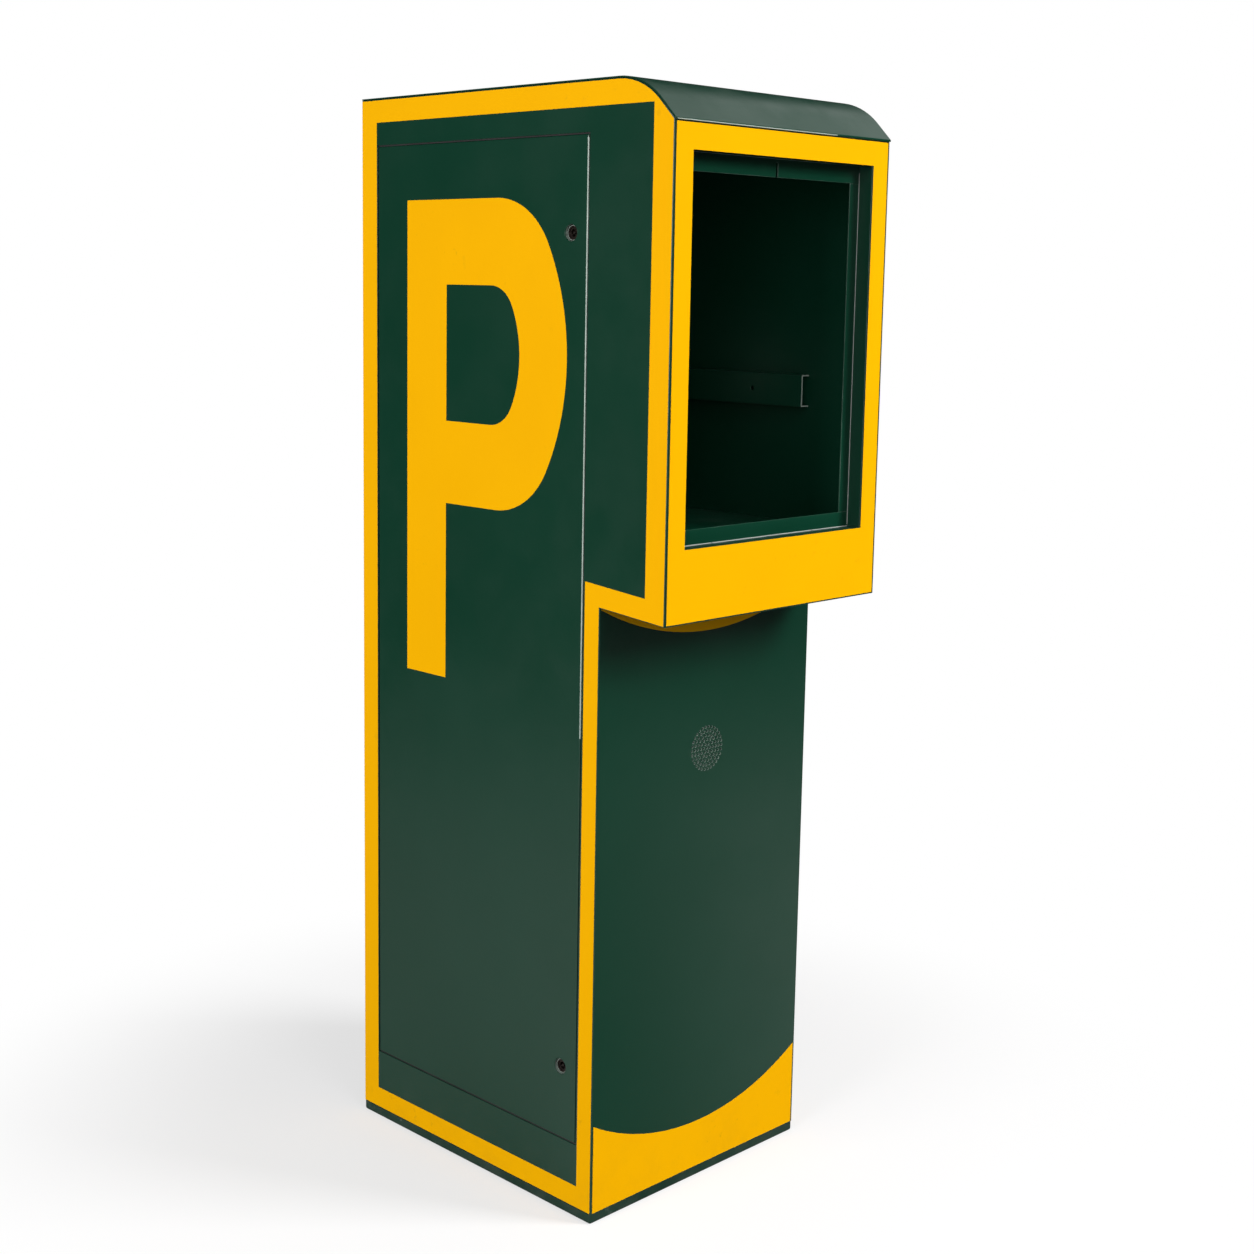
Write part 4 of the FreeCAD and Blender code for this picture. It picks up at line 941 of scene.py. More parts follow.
@dataclass
class WindowRebate:
    """Four folded angles round the window, where the missing fascia sits."""

    shop: Assembler
    fold: float = 0.7 * MM
    lap: float = 2.5 * MM
    highlight_bead: float = 0.9 * MM
    nick: float = 1.5 * MM

    def build(self) -> None:
        """Makes the four angles, with a painted highlight on their edges, and pale beads shaped like sealant
        in their corners, which paint the highlights there.
        """
        # The angles' edges carry a painted highlight.
        for side in ("left", "right", "sill", "top"):
            self.shop.refine(f"window_{side}_angle", Slot.GREEN_PAINT, self.fold, segments=3,
                             wear_and_highlight=WearAndHighlight.PAINTED_EDGE_HIGHLIGHTS)
        # Painted highlight: pale beads shaped like sealant along the sill's back corner and up the right
        # angle.
        sill = Space.of("window_sill_angle")
        left, right = sill.low.x + self.lap, sill.high.x - self.lap
        shelf, back = sill.low.z + 2 * MM, sill.high.y - 2 * MM
        ends = (left, left + 0.21 * (right - left), left + 0.78 * (right - left), right)
        highlight_beads = Workpiece()
        for start, end in zip(ends, ends[1:]):
            at = (start + self.nick / 2, back - 0.3 * MM, shelf + 0.3 * MM)
            highlight_beads.rod(self.highlight_bead, end - start - self.nick, at, Run.RIGHT, 0.4 * MM, 16)
        upright = Space.of("window_right_angle")
        at = (right - 0.2 * MM, back - 0.2 * MM, shelf + self.lap)
        highlight_beads.rod(0.6 * self.highlight_bead, upright.size.z - 12 * MM, at, Run.UP, 0.3 * MM, 16)
        self.shop.fit("window_corner_highlight", highlight_beads, Slot.GREY_PLASTIC)


@dataclass
class DoorSurround:
    """What the door closes on: the landing frame, its seal, the fixed hinge leaves and the pins."""

    shop: Assembler
    fold: float = 0.7 * MM
    seal_round: float = 2.2 * MM
    gap: float = 2.5 * MM
    # Thickness of the dark strips that paint the shade in the door gap.
    lip: float = 2.1 * MM
    leaf_length: float = 92.0 * MM
    leaf_step: float = 381.0 * MM
    screw_radius: float = 3.2 * MM

    def build(self) -> None:
        """Makes the fixed side of the doorway."""
        self.shop.refine("door_frame", Slot.GREEN_PAINT, self.fold, segments=3)
        self.shop.refine("door_seal", Slot.SEAL_RUBBER, self.seal_round, segments=4)
        self.shop.refine("hinge_fixed_leaves", Slot.ZINC_STEEL, 0.3 * MM)
        self.shop.refine("hinge_pins", Slot.ZINC_STEEL, 0.3 * MM)
        self._gap_shade_lips()
        frame_space, hinges = Space.of("door_frame"), Space.of("hinge_fixed_leaves")
        screws = Workpiece()
        top_leaf = hinges.high.z - self.leaf_length
        for low in (hinges.low.z, top_leaf - self.leaf_step, top_leaf):
            for share in (0.2, 0.8):
                at = (frame_space.high.x, hinges.high.y - 9 * MM, low + share * self.leaf_length)
                screws.screw(self.screw_radius, at, Run.RIGHT)
        self.shop.fit("hinge_leaf_screws", screws, Slot.ZINC_STEEL)

    def _gap_shade_lips(self) -> None:
        """Dark rubber strips set back in the gap below, above and in front of the door, shaped as the seal's
        lip: they paint the shade in the gap.
        """
        door, panel = Space.of("door_skin"), Space.of("left_side_panel")
        out, back = panel.low.x + 1.9 * MM, panel.high.x + 0.6 * MM
        low, high = door.low.z - self.gap, door.high.z + self.gap
        front, rear = door.low.y - self.gap, door.high.y
        gap_shade_lips = Workpiece()
        gap_shade_lips.block((out, front, low), (back, rear, low + self.lip), 0.1 * MM)
        gap_shade_lips.block((out, front, high - self.lip), (back, rear, high), 0.1 * MM)
        gap_shade_lips.block((out, front, low + self.lip), (back, front + self.lip, high - self.lip), 0.1 * MM)
        self.shop.fit("door_gap_shade_lips", gap_shade_lips, Slot.SEAL_RUBBER)


@dataclass
class DoorLock:
    """A quarter-turn lock: cup and barrel in the door, a nut behind, and a core that turns the cam."""

    shop: Assembler
    name: str
    body: Body
    cup_radius: float = 12.5 * MM
    cup_wall: float = 0.9 * MM
    cup_depth: float = 6.0 * MM
    cup_back: float = 8.0 * MM
    rim_width: float = 1.2 * MM
    rim_depth: float = 0.9 * MM
    barrel_radius: float = 9.6 * MM
    bore: float = 7.55 * MM
    barrel_face: float = 3.5 * MM
    barrel_end: float = 22.0 * MM
    lip_width: float = 0.5 * MM
    core_radius: float = 7.5 * MM
    core_face: float = 5.0 * MM
    core_end: float = 24.0 * MM
    socket_radius: float = 5.5 * MM
    socket_depth: float = 6.0 * MM
    pin_radius: float = 1.9 * MM
    shank_radius: float = 4.0 * MM
    soft: float = 0.25 * MM

    def build(self) -> None:
        """Makes the lock's fixed and turning pieces."""
        housing = Space.of(self.name + "_housing")
        core = Space.of(self.name + "_core")
        face = Vector((Space.of("door_skin").low.x, housing.centre.y, housing.centre.z))
        fit = self.shop.fit
        fit(self.name + "_rim", self._rim(face), Slot.GREEN_PAINT, Body.SIDE_DOOR)
        fit(self.name + "_cup", self._cup(face), Slot.LOCK_STEEL, Body.SIDE_DOOR, self.name + "_housing")
        fit(self.name + "_barrel", self._barrel(face), Slot.LOCK_DARK, Body.SIDE_DOOR)
        plug = self._plug(face, core.high.x - face.x)
        fit(self.name + "_plug", plug, Slot.LOCK_DARK, self.body, self.name + "_core")
        self.shop.refine(self.name + "_cam", Slot.ZINC_STEEL, 0.4 * MM, self.body)

    def _rim(self, face: Vector) -> Workpiece:
        """Painted rim round the cup, just under the door's face.

        Args:
            face: Lock centre on the door's outer face.

        Returns:
            The rim.
        """
        inner, top, soft = self.cup_radius - self.rim_width, 0.2 * MM, self.soft
        outline = [(inner, top + soft), (inner + soft, top), (self.cup_radius - soft, top),
                   (self.cup_radius, top + soft), (self.cup_radius, self.rim_depth), (inner, self.rim_depth)]
        return Workpiece().turned(outline, face, Run.RIGHT, 72, closed=True)

    def _cup(self, face: Vector) -> Workpiece:
        """Steel wall of the cup, and the bright lip of the barrel in it.

        Args:
            face: Lock centre on the door's outer face.

        Returns:
            The wall and the lip.
        """
        inner, lip = self.cup_radius - self.cup_wall, self.barrel_radius + self.lip_width
        cup = Workpiece().tube(inner, self.cup_radius, self.rim_depth, self.cup_back, face, Run.RIGHT)
        return cup.tube(self.barrel_radius, lip, self.barrel_face - 0.1 * MM, self.barrel_face + 0.8 * MM,
                        face, Run.RIGHT)

    def _barrel(self, face: Vector) -> Workpiece:
        """Barrel through the cup, which the core turns in, and the cup's floor round it; the floor's dark
        finish paints the shade in the cup.

        Args:
            face: Lock centre on the door's outer face.

        Returns:
            The barrel and the floor.
        """
        soft, front, outer = self.soft, self.barrel_face, self.barrel_radius
        outline = [(self.bore, front + soft), (self.bore + soft, front), (outer - soft, front),
                   (outer, front + soft), (outer, self.barrel_end), (self.bore, self.barrel_end)]
        barrel = Workpiece().turned(outline, face, Run.RIGHT, 72, closed=True)
        # The cup's floor is dark as painted shade in the recess.
        return barrel.tube(outer, self.cup_radius - self.cup_wall, self.cup_depth, self.cup_back, face,
                           Run.RIGHT)

    def _plug(self, face: Vector, end: float) -> Workpiece:
        """Core with a deep socket round a centre pin, three drive lugs, and the shank behind.

        Args:
            face: Lock centre on the door's outer face.
            end: Distance from that face to the shank's end.

        Returns:
            The core.
        """
        front, soft = self.core_face, self.soft
        floor = front + self.socket_depth
        outline = [(0, front + 0.4 * MM), (self.pin_radius - soft, front + 0.4 * MM),
                   (self.pin_radius, front + 0.4 * MM + soft), (self.pin_radius, floor),
                   (self.socket_radius, floor), (self.socket_radius, front + soft),
                   (self.socket_radius + soft, front), (self.core_radius - soft, front),
                   (self.core_radius, front + soft), (self.core_radius, self.core_end),
                   (self.shank_radius, self.core_end), (self.shank_radius, end - soft),
                   (self.shank_radius - soft, end), (0, end)]
        plug = Workpiece().turned(outline, face, Run.RIGHT, 64)
        lug_reach, lug_radius = self.socket_radius - 0.4 * MM, 1.1 * MM
        for turn in range(3):
            angle = math.tau * turn / 3 + math.pi / 2
            at = face + Vector((front + 1.2 * MM, lug_reach * math.cos(angle), lug_reach * math.sin(angle)))
            plug.rod(lug_radius, self.socket_depth - 1.2 * MM, at, Run.RIGHT, 0.25 * MM, 20)
        return plug


@dataclass
class ServiceDoor:
    """The side door: folded skin, hat stiffeners, hinge leaves, lock nuts and its two locks."""

    shop: Assembler
    fold: float = 1.6 * MM
    highlight_from: float = 0.42
    cut_edge: float = 0.35 * MM
    weld_radius: float = 2.6 * MM

    def build(self) -> None:
        """Makes the door and what moves with it."""
        space = Space.of("door_skin")

        def on_fold(middle: Vector) -> bool:
            """True on the rim of the door's outer face."""
            at_rim = min(middle.y - space.low.y, space.high.y - middle.y,
                         middle.z - space.low.z, space.high.z - middle.z) < SAME_POINT
            return at_rim and middle.x - space.low.x < SAME_POINT

        skin = Workpiece.copied("door_skin").rounded(self.fold, 4, on_fold).rounded(self.cut_edge)
        self.shop.fit("door_leaf", skin, Slot.GREEN_PAINT, Body.SIDE_DOOR, "door_skin")
        # Painted highlight: a pale bare-metal rod in the door's front fold, from 42 % of its height to the
        # top, where the fold catches light.
        inset, radius = self.fold - 0.18 * MM, self.fold - 0.15 * MM
        start = (space.low.x + inset, space.low.y + inset, space.low.z + self.highlight_from * space.size.z)
        highlight_and_bare = Workpiece().rod(radius, (1 - self.highlight_from) * space.size.z - 3 * MM, start, Run.UP, 0.5 * MM)
        self.shop.fit("door_edge_highlight", highlight_and_bare, Slot.ZINC_STEEL, Body.SIDE_DOOR, wear_and_highlight=WearAndHighlight.BARE_AND_HIGHLIGHT)
        self.shop.refine("door_stiffeners", Slot.GREEN_PAINT, 0.7 * MM, Body.SIDE_DOOR, 3)
        self.shop.refine("hinge_door_leaves", Slot.ZINC_STEEL, 0.3 * MM, Body.SIDE_DOOR)
        self.shop.refine("lock_nuts", Slot.ZINC_STEEL, 0.4 * MM, Body.SIDE_DOOR)
        self._welds()
        DoorLock(self.shop, "upper_lock", Body.UPPER_LOCK).build()
        DoorLock(self.shop, "lower_lock", Body.LOWER_LOCK).build()

    def _welds(self) -> None:
        """Spot welds along the stiffeners' brims, as shallow dimpled buttons."""
        space, skin = Space.of("door_stiffeners"), Space.of("door_skin")
        brim, hat = 7 * MM, 68 * MM
        rows = (space.low.y + brim, space.low.y + hat - brim, space.high.y - hat + brim, space.high.y - brim)
        seat = skin.low.x + 4 * MM
        button = [(0, 0.05 * MM), (0.6 * self.weld_radius, 0.02 * MM), (0.8 * self.weld_radius, 0.25 * MM),
                  (self.weld_radius, 0.0), (0, -0.3 * MM)]
        welds = Workpiece()
        count = 12
        for row in rows:
            for index in range(count):
                height = space.low.z + (index + 0.5) * space.size.z / count
                welds.turned(button, (seat, row, height), Run.RIGHT, 16)
        self.shop.fit("stiffener_spot_welds", welds, Slot.GREEN_PAINT, Body.SIDE_DOOR)


@dataclass
class HeadInterior:
    """What shows through the window: the equipment floor and the mounting rail."""

    shop: Assembler
    fold: float = 0.9 * MM
    sheet: float = 2.0 * MM

    def build(self) -> None:
        """Makes the floor and the rail."""
        self.shop.refine("equipment_floor", Slot.GREEN_PAINT, 0.6 * MM)
        # The rail's edges carry a painted highlight.
        self.shop.refine("mounting_rail", Slot.GREEN_PAINT, self.fold, segments=3, wear_and_highlight=WearAndHighlight.PAINTED_EDGE_HIGHLIGHTS)
        # Pale strips over the rail's cut end: bare steel, whose paleness also paints the highlight that the
        # end catches.
        rail = Space.of("mounting_rail")
        front, back = rail.low.y - 0.2 * MM, rail.low.y + 0.4 * MM
        cut = Workpiece()
        cut.block((rail.low.x, front, rail.low.z), (rail.low.x + self.sheet, back, rail.high.z), 0.15 * MM)
        for low in (rail.low.z, rail.high.z - self.sheet):
            cut.block((rail.low.x + self.sheet, front, low), (rail.high.x, back, low + self.sheet), 0.15 * MM)
        self.shop.fit("rail_cut_end", cut, Slot.ZINC_STEEL, wear_and_highlight=WearAndHighlight.BARE_AND_HIGHLIGHT)


@dataclass
class TicketPrinter:
    """The printer on its bracket, with the platen, the spindle and the roll."""

    shop: Assembler
    platen_radius: float = 8.0 * MM
    shaft_radius: float = 3.0 * MM
    core_radius: float = 12.0 * MM
    core_wall: float = 2.0 * MM
    screw_radius: float = 2.8 * MM

    def build(self) -> None:
        """Makes the printer's pieces."""
        self.shop.refine("printer_bracket", Slot.ZINC_STEEL, 0.6 * MM)
        self.shop.refine("ticket_printer", Slot.BLACK_PLASTIC, 0.8 * MM, segments=3)
        self._details()
        self._platen()
        self._roll()

    def _details(self) -> None:
        """Tear bar over the slot, a feed key, a lamp, and the screws that hold the printer."""
        body, slot_half = Space.of("ticket_printer"), 45 * MM
        slot_top = body.low.z + 36.4 * MM
        front = body.low.y
        bar = Workpiece().block((body.centre.x - slot_half - 2 * MM, front - 1.2 * MM, slot_top),
                                (body.centre.x + slot_half + 2 * MM, front + 0.5 * MM, slot_top + 7 * MM))
        teeth, pitch = 36, 2.5 * MM
        for index in range(teeth):
            x = body.centre.x + (index - (teeth - 1) / 2) * pitch
            bar.prism(3, 1.3 * MM, 1.0 * MM, (x, front - 1.1 * MM, slot_top), Run.BACK, 0.1 * MM)
        self.shop.fit("printer_tear_bar", bar, Slot.ZINC_STEEL)
        key = Workpiece().rod(5 * MM, 3.2 * MM, (body.high.x - 16 * MM, front + 0.7 * MM, slot_top + 24 * MM),
                              Run.FRONT, 0.8 * MM)
        self.shop.fit("printer_feed_key", key, Slot.GREY_PLASTIC)
        dome = [(0, 0), (2.2 * MM, 0), (2.2 * MM, 1.2 * MM), (1.4 * MM, 2.2 * MM), (0, 2.6 * MM)]
        lamp_at = (body.high.x - 32 * MM, front + 0.5 * MM, slot_top + 24 * MM)
        lamp = Workpiece().turned(dome, lamp_at, Run.FRONT, 20)
        self.shop.fit("printer_lamp", lamp, Slot.GREY_PLASTIC)
        screws = Workpiece()
        cheek = Space.of("printer_bracket")
        for y in (cheek.low.y + 25 * MM, cheek.high.y - 30 * MM):
            for at, run in (((cheek.low.x, y, cheek.low.z + 30 * MM), Run.LEFT),
                            ((cheek.high.x, y, cheek.low.z + 30 * MM), Run.RIGHT)):
                screws.screw(self.screw_radius, at, run)
        self.shop.fit("printer_screws", screws, Slot.ZINC_STEEL)

    def _platen(self) -> None:
        """Rubber sleeve with grip rings on a steel shaft."""
        space = Space.of("platen_roller")
        ends, soft = 8 * MM, 0.5 * MM
        length = space.size.x - 2 * ends
        outline = [(self.shaft_radius, 0), (self.platen_radius - soft, 0), (self.platen_radius, soft)]
        rings = 9
        for index in range(1, rings):
            along = length * index / rings
            outline += [(self.platen_radius, along - 0.6 * MM), (self.platen_radius - 0.35 * MM, along),
                        (self.platen_radius, along + 0.6 * MM)]
        outline += [(self.platen_radius, length - soft), (self.platen_radius - soft, length),
                    (self.shaft_radius, length)]
        start = Vector((space.low.x + ends, space.centre.y, space.centre.z))
        sleeve = Workpiece().turned(outline, start, Run.RIGHT, 48, closed=True)
        self.shop.fit("platen_sleeve", sleeve, Slot.SEAL_RUBBER, Body.PLATEN_ROLLER, "platen_roller")
        shaft_at = (space.low.x, space.centre.y, space.centre.z)
        shaft = Workpiece().rod(self.shaft_radius, space.size.x, shaft_at, Run.RIGHT, 0.4 * MM)
        self.shop.fit("platen_shaft", shaft, Slot.ZINC_STEEL, Body.PLATEN_ROLLER)

    def _roll(self) -> None:
        """Paper wound on a cardboard core, on its spindle."""
        space = Space.of("ticket_roll")
        start = Vector((space.low.x, space.centre.y, space.centre.z))
        inner, outer, width = self.core_radius + self.core_wall, space.size.y / 2, space.size.x
        soft, first, last = 0.5 * MM, 0.3 * MM, width - 0.3 * MM
        paper = [(inner, first), (outer - soft, first), (outer, first + soft), (outer, last - soft),
                 (outer - soft, last), (inner, last)]
        roll = Workpiece().turned(paper, start, Run.RIGHT, 128, closed=True)
        self.shop.fit("ticket_paper", roll, Slot.PAPER, Body.TICKET_ROLL, "ticket_roll")
        tube = Workpiece().tube(self.core_radius, inner, 0.0, width, start, Run.RIGHT, 64)
        self.shop.fit("paper_core", tube, Slot.GREY_PLASTIC, Body.TICKET_ROLL)
        self.shop.refine("roll_spindle", Slot.ZINC_STEEL, 0.4 * MM)


@dataclass
class Loudspeaker:
    """The loudspeaker behind the pedestal's grille."""

    shop: Assembler
    grille_rings: int = 5
    grille_reach: float = 31.9 * MM
    hole_radius: float = 2.1 * MM
    wall_start: float = 0.2 * MM
    wall_end: float = 1.05 * MM
    wall_skin: float = 0.2 * MM
    cone_radius: float = 35.5 * MM
    dust_cap_radius: float = 12.0 * MM
    skin: float = 0.8 * MM

    def build(self) -> None:
        """Makes the grille's bare hole walls, gasket, basket, cone and screws."""
        self._hole_walls()
        self.shop.refine("speaker_gasket", Slot.SEAL_RUBBER, 0.3 * MM)
        self.shop.refine("speaker_basket", Slot.BASKET_METAL, 0.3 * MM)
        cone = Space.of("speaker_cone")
        start = Vector((cone.centre.x, cone.low.y, cone.centre.z))
        depth = cone.size.y
        face = [(self.cone_radius, 0.0), (self.cone_radius - 1.5 * MM, 0.2 * MM)]
        for share, dip in ((0.93, 0.9 * MM), (0.88, 1.6 * MM), (0.84, 0.9 * MM), (0.80, 1.4 * MM)):
            face.append((share * self.cone_radius, dip + 0.8 * MM))
        face += [(0.6 * self.cone_radius, 0.42 * depth), (self.dust_cap_radius, 0.82 * depth),
                 (0.75 * self.dust_cap_radius, 0.70 * depth), (0.4 * self.dust_cap_radius, 0.64 * depth),
                 (0.0, 0.62 * depth)]
        back = [(radius, along + self.skin) for radius, along in reversed(face)]
        shape = Workpiece().turned(face + back + face[:1], start, Run.BACK, 64)
        self.shop.fit("speaker_diaphragm", shape, Slot.BLACK_PLASTIC, Body.CABINET, "speaker_cone")
        space, radius = Space.of("speaker_screws"), 3.8 * MM
        screws = Workpiece()
        for x, z in space.corners(radius):
            screws.screw(radius, (x, space.low.y, z), Run.BACK)
        self.shop.fit("speaker_fixings", screws, Slot.ZINC_STEEL, Body.CABINET, "speaker_screws")

    def _hole_walls(self) -> None:
        """The punched holes' bare walls, in rings round the middle one."""
        centre, face = Space.of("speaker_cone").centre, Space.of("pedestal_front_panel").low.y
        inner, outer = self.hole_radius - self.wall_skin, self.hole_radius
        walls = Workpiece()
        for ring in range(self.grille_rings + 1):
            count = max(1, 6 * ring)
            reach = self.grille_reach * ring / self.grille_rings
            for index in range(count):
                turn = math.tau * index / count
                at = (centre.x + reach * math.cos(turn), face, centre.z + reach * math.sin(turn))
                walls.tube(inner, outer, self.wall_start, self.wall_end, at, Run.BACK, 14)
        self.shop.fit("grille_hole_walls", walls, Slot.ZINC_STEEL, wear_and_highlight=WearAndHighlight.BARE_AND_HIGHLIGHT)


@dataclass
class CoinVault:
    """The steel coin vault in the pedestal, its drop door, key and cassette."""

    shop: Assembler
    rivet_radius: float = 3.0 * MM

    def build(self) -> None:
        """Makes the vault's pieces."""
        refine = self.shop.refine
        refine("vault_housing", Slot.VAULT_PAINT, 0.7 * MM, segments=3)
        refine("vault_hinge_pin", Slot.ZINC_STEEL, 0.3 * MM)
        refine("coin_cassette", Slot.ZINC_STEEL, 0.15 * MM, segments=1)
        refine("vault_door", Slot.VAULT_PAINT, 0.5 * MM, Body.VAULT_DOOR)
        refine("vault_key_cylinder", Slot.LOCK_STEEL, 0.3 * MM, Body.VAULT_KEY)
        door = Space.of("vault_door")
        face = door.high.x - 4 * MM
        rivets = Workpiece()
        for z in (door.low.z + 40 * MM, door.high.z - 25 * MM):
            for y in (door.low.y + 20 * MM, door.high.y - 20 * MM):
                rivets.screw(self.rivet_radius, (face, y, z), Run.LEFT)
        self.shop.fit("vault_door_rivets", rivets, Slot.LOCK_STEEL, Body.VAULT_DOOR)


@dataclass
class Battery:
    """The sealed battery in its tray, under a strap."""

    shop: Assembler
    cap_radius: float = 7.0 * MM
    caps: int = 6

    def build(self) -> None:
        """Makes battery, tray and strap, and adds the vent caps and the strap's buckle."""
        self.shop.refine("battery", Slot.BLACK_PLASTIC, 0.5 * MM, segments=3)
        self.shop.refine("battery_tray", Slot.ZINC_STEEL, 0.4 * MM)
        self.shop.refine("battery_strap", Slot.SEAL_RUBBER, 0.3 * MM)
        space, strap = Space.of("battery"), Space.of("battery_strap")
        lid = space.high.z - 7 * MM
        outline = [(0, 0), (self.cap_radius, 0), (self.cap_radius, 1.2 * MM),
                   (self.cap_radius - 0.6 * MM, 1.8 * MM), (1.2 * MM, 1.8 * MM), (1.2 * MM, 1.2 * MM),
                   (0, 1.2 * MM)]
        caps = Workpiece()
        for index in range(self.caps):
            x = space.centre.x + (index - (self.caps - 1) / 2) * 24 * MM
            if strap.low.x - self.cap_radius < x < strap.high.x + self.cap_radius:
                continue
            caps.turned(outline, (x, space.centre.y + 18 * MM, lid), Run.UP, 28)
        self.shop.fit("battery_vent_caps", caps, Slot.GREY_PLASTIC)
        low = (strap.low.x - 3 * MM, strap.low.y - 2.2 * MM, strap.centre.z + 10 * MM)
        high = (strap.high.x + 3 * MM, strap.low.y + 0.6 * MM, strap.centre.z + 34 * MM)
        buckle = Workpiece().block(low, high, 0.8 * MM)
        self.shop.fit("strap_buckle", buckle, Slot.ZINC_STEEL)


@dataclass
class PowerAndControl:
    """The mounting plate with controller, power supply, terminals and breaker."""

    shop: Assembler
    screw_radius: float = 3.0 * MM
    clamp_radius: float = 1.9 * MM

    def build(self) -> None:
        """Makes the plate's equipment."""
        refine = self.shop.refine
        refine("electrics_plate", Slot.ZINC_STEEL, 0.4 * MM)
        refine("controller_case", Slot.ALUMINIUM_CASE, 0.6 * MM)
        refine("power_supply", Slot.ALUMINIUM_CASE, 0.5 * MM)
        refine("din_rail", Slot.ZINC_STEEL, 0.3 * MM)
        refine("terminal_blocks", Slot.GREY_PLASTIC, 0.4 * MM)
        refine("breaker_body", Slot.GREY_PLASTIC, 0.5 * MM)
        refine("breaker_lever", Slot.BLACK_PLASTIC, 0.4 * MM, Body.BREAKER_LEVER)
        self._controller()
        self._supply()
        self._clamps()

    def _corner_screws(self, space: Space, inset: float, work: Workpiece) -> None:
        """Adds a screw in each corner of a front face.

        Args:
            space: The case's box.
            inset: From the corner to the screw, both ways.
            work: What the screws are added to.
        """
        for x, z in space.corners(inset):
            work.screw(self.screw_radius, (x, space.low.y, z), Run.FRONT)

    def _controller(self) -> None:
        """Lid screws, two rows of plug sockets and three lamps."""
        space = Space.of("controller_case")
        screws = Workpiece()
        self._corner_screws(space, 9 * MM, screws)
        self.shop.fit("controller_screws", screws, Slot.ZINC_STEEL)
        plugs = Workpiece()
        for row, count, wide in ((0.42, 5, 30 * MM), (0.66, 4, 38 * MM)):
            z = space.low.z + row * space.size.z
            for index in range(count):
                x = space.centre.x + (index - (count - 1) / 2) * (wide + 8 * MM)
                plugs.block((x - wide / 2, space.low.y - 7 * MM, z - 6 * MM),
                            (x + wide / 2, space.low.y + 0.5 * MM, z + 6 * MM), 0.7 * MM)
                pins = int(wide / (5 * MM))
                for pin in range(pins):
                    at = (x + (pin - (pins - 1) / 2) * 5 * MM, space.low.y - 6.6 * MM, z)
                    plugs.prism(4, 1.7 * MM, 0.9 * MM, at, Run.FRONT, 0.2 * MM)
        self.shop.fit("controller_plugs", plugs, Slot.BLACK_PLASTIC)
        lamps = Workpiece()
        for index in range(3):
            at = (space.low.x + (24 + 9 * index) * MM, space.low.y + 0.3 * MM, space.high.z - 22 * MM)
            lamps.turned([(0, 0), (1.6 * MM, 0), (1.6 * MM, 1.0 * MM), (1.0 * MM, 1.8 * MM), (0, 2.1 * MM)],
                         at, Run.FRONT, 16)
        self.shop.fit("controller_lamps", lamps, Slot.GREY_PLASTIC)

    def _supply(self) -> None:
        """Cover screws and the terminal strip under the power supply."""
        space = Space.of("power_supply")
        screws = Workpiece()
        self._corner_screws(space, 5.5 * MM, screws)
        self.shop.fit("supply_screws", screws, Slot.ZINC_STEEL)
        strip = Workpiece()
        ways, pitch = 7, 10.5 * MM
        for index in range(ways):
            x = space.centre.x + (index - (ways - 1) / 2) * pitch
            strip.block((x - 4.6 * MM, space.low.y + 4 * MM, space.low.z - 8 * MM),
                        (x + 4.6 * MM, space.low.y + 18 * MM, space.low.z + 0.4 * MM), 0.6 * MM)
        self.shop.fit("supply_terminals", strip, Slot.BLACK_PLASTIC)

    def _clamps(self) -> None:
        """Clamp screws of the terminal blocks and the breaker."""
        space, breaker = Space.of("terminal_blocks"), Space.of("breaker_body")
        screws = Workpiece()
        pitch, first, count = 6.2 * MM, 2.95 * MM, 12
        shoulder = space.low.y + 10 * MM
        for index in range(count):
            x = space.low.x + first + pitch * index
            for z in (space.low.z + 4.5 * MM, space.high.z - 4.5 * MM):
                screws.screw(self.clamp_radius, (x, shoulder, z), Run.FRONT, 14)
        for x, z in breaker.corners(9 * MM):
            screws.screw(self.screw_radius, (x, breaker.low.y + 22 * MM, z), Run.FRONT)
        self.shop.fit("terminal_screws", screws, Slot.ZINC_STEEL)


@dataclass
class CableEntry:
    """The gland plate in the base and its cable gland."""

    shop: Assembler
    bore: float = 5.0 * MM
    thread: float = 10.0 * MM
    ribs: int = 12

    def build(self) -> None:
        """Makes the plate, the gland's body and its ribbed cap."""
        self.shop.refine("gland_plate", Slot.ZINC_STEEL, 0.4 * MM)
        plate, gland = Space.of("gland_plate"), Space.of("cable_gland")
        axis = Vector((gland.centre.x, gland.centre.y, 0.0))
        seat, bottom, top = plate.high.z, gland.low.z, gland.high.z
        cap_start = seat + 7 * MM
        flange, cap = self.thread + 1.5 * MM, self.thread + 2 * MM
        outline = [(self.bore, bottom), (self.thread, bottom), (self.thread, seat), (flange, seat),
                   (flange, cap_start), (cap - 0.5 * MM, cap_start), (cap, cap_start + 0.5 * MM),
                   (cap, top - 5 * MM), (cap - 1.2 * MM, top - 1.6 * MM), (cap - 3.2 * MM, top),
                   (self.bore, top)]
        body = Workpiece().turned(outline, axis, Run.UP, 64, closed=True)
        self.shop.fit("gland_cap", body, Slot.BLACK_PLASTIC, Body.CABINET, "cable_gland")
        grip = Workpiece()
        for index in range(self.ribs):
            angle = math.tau * index / self.ribs
            at = (axis.x + cap * math.cos(angle), axis.y + cap * math.sin(angle), cap_start + 1.0 * MM)
            grip.rod(0.9 * MM, top - 6.5 * MM - cap_start, at, Run.UP, 0.3 * MM, 12)
        self.shop.fit("gland_ribs", grip, Slot.BLACK_PLASTIC)


# ---- Studio ---------------------------------------------------------------------------------------


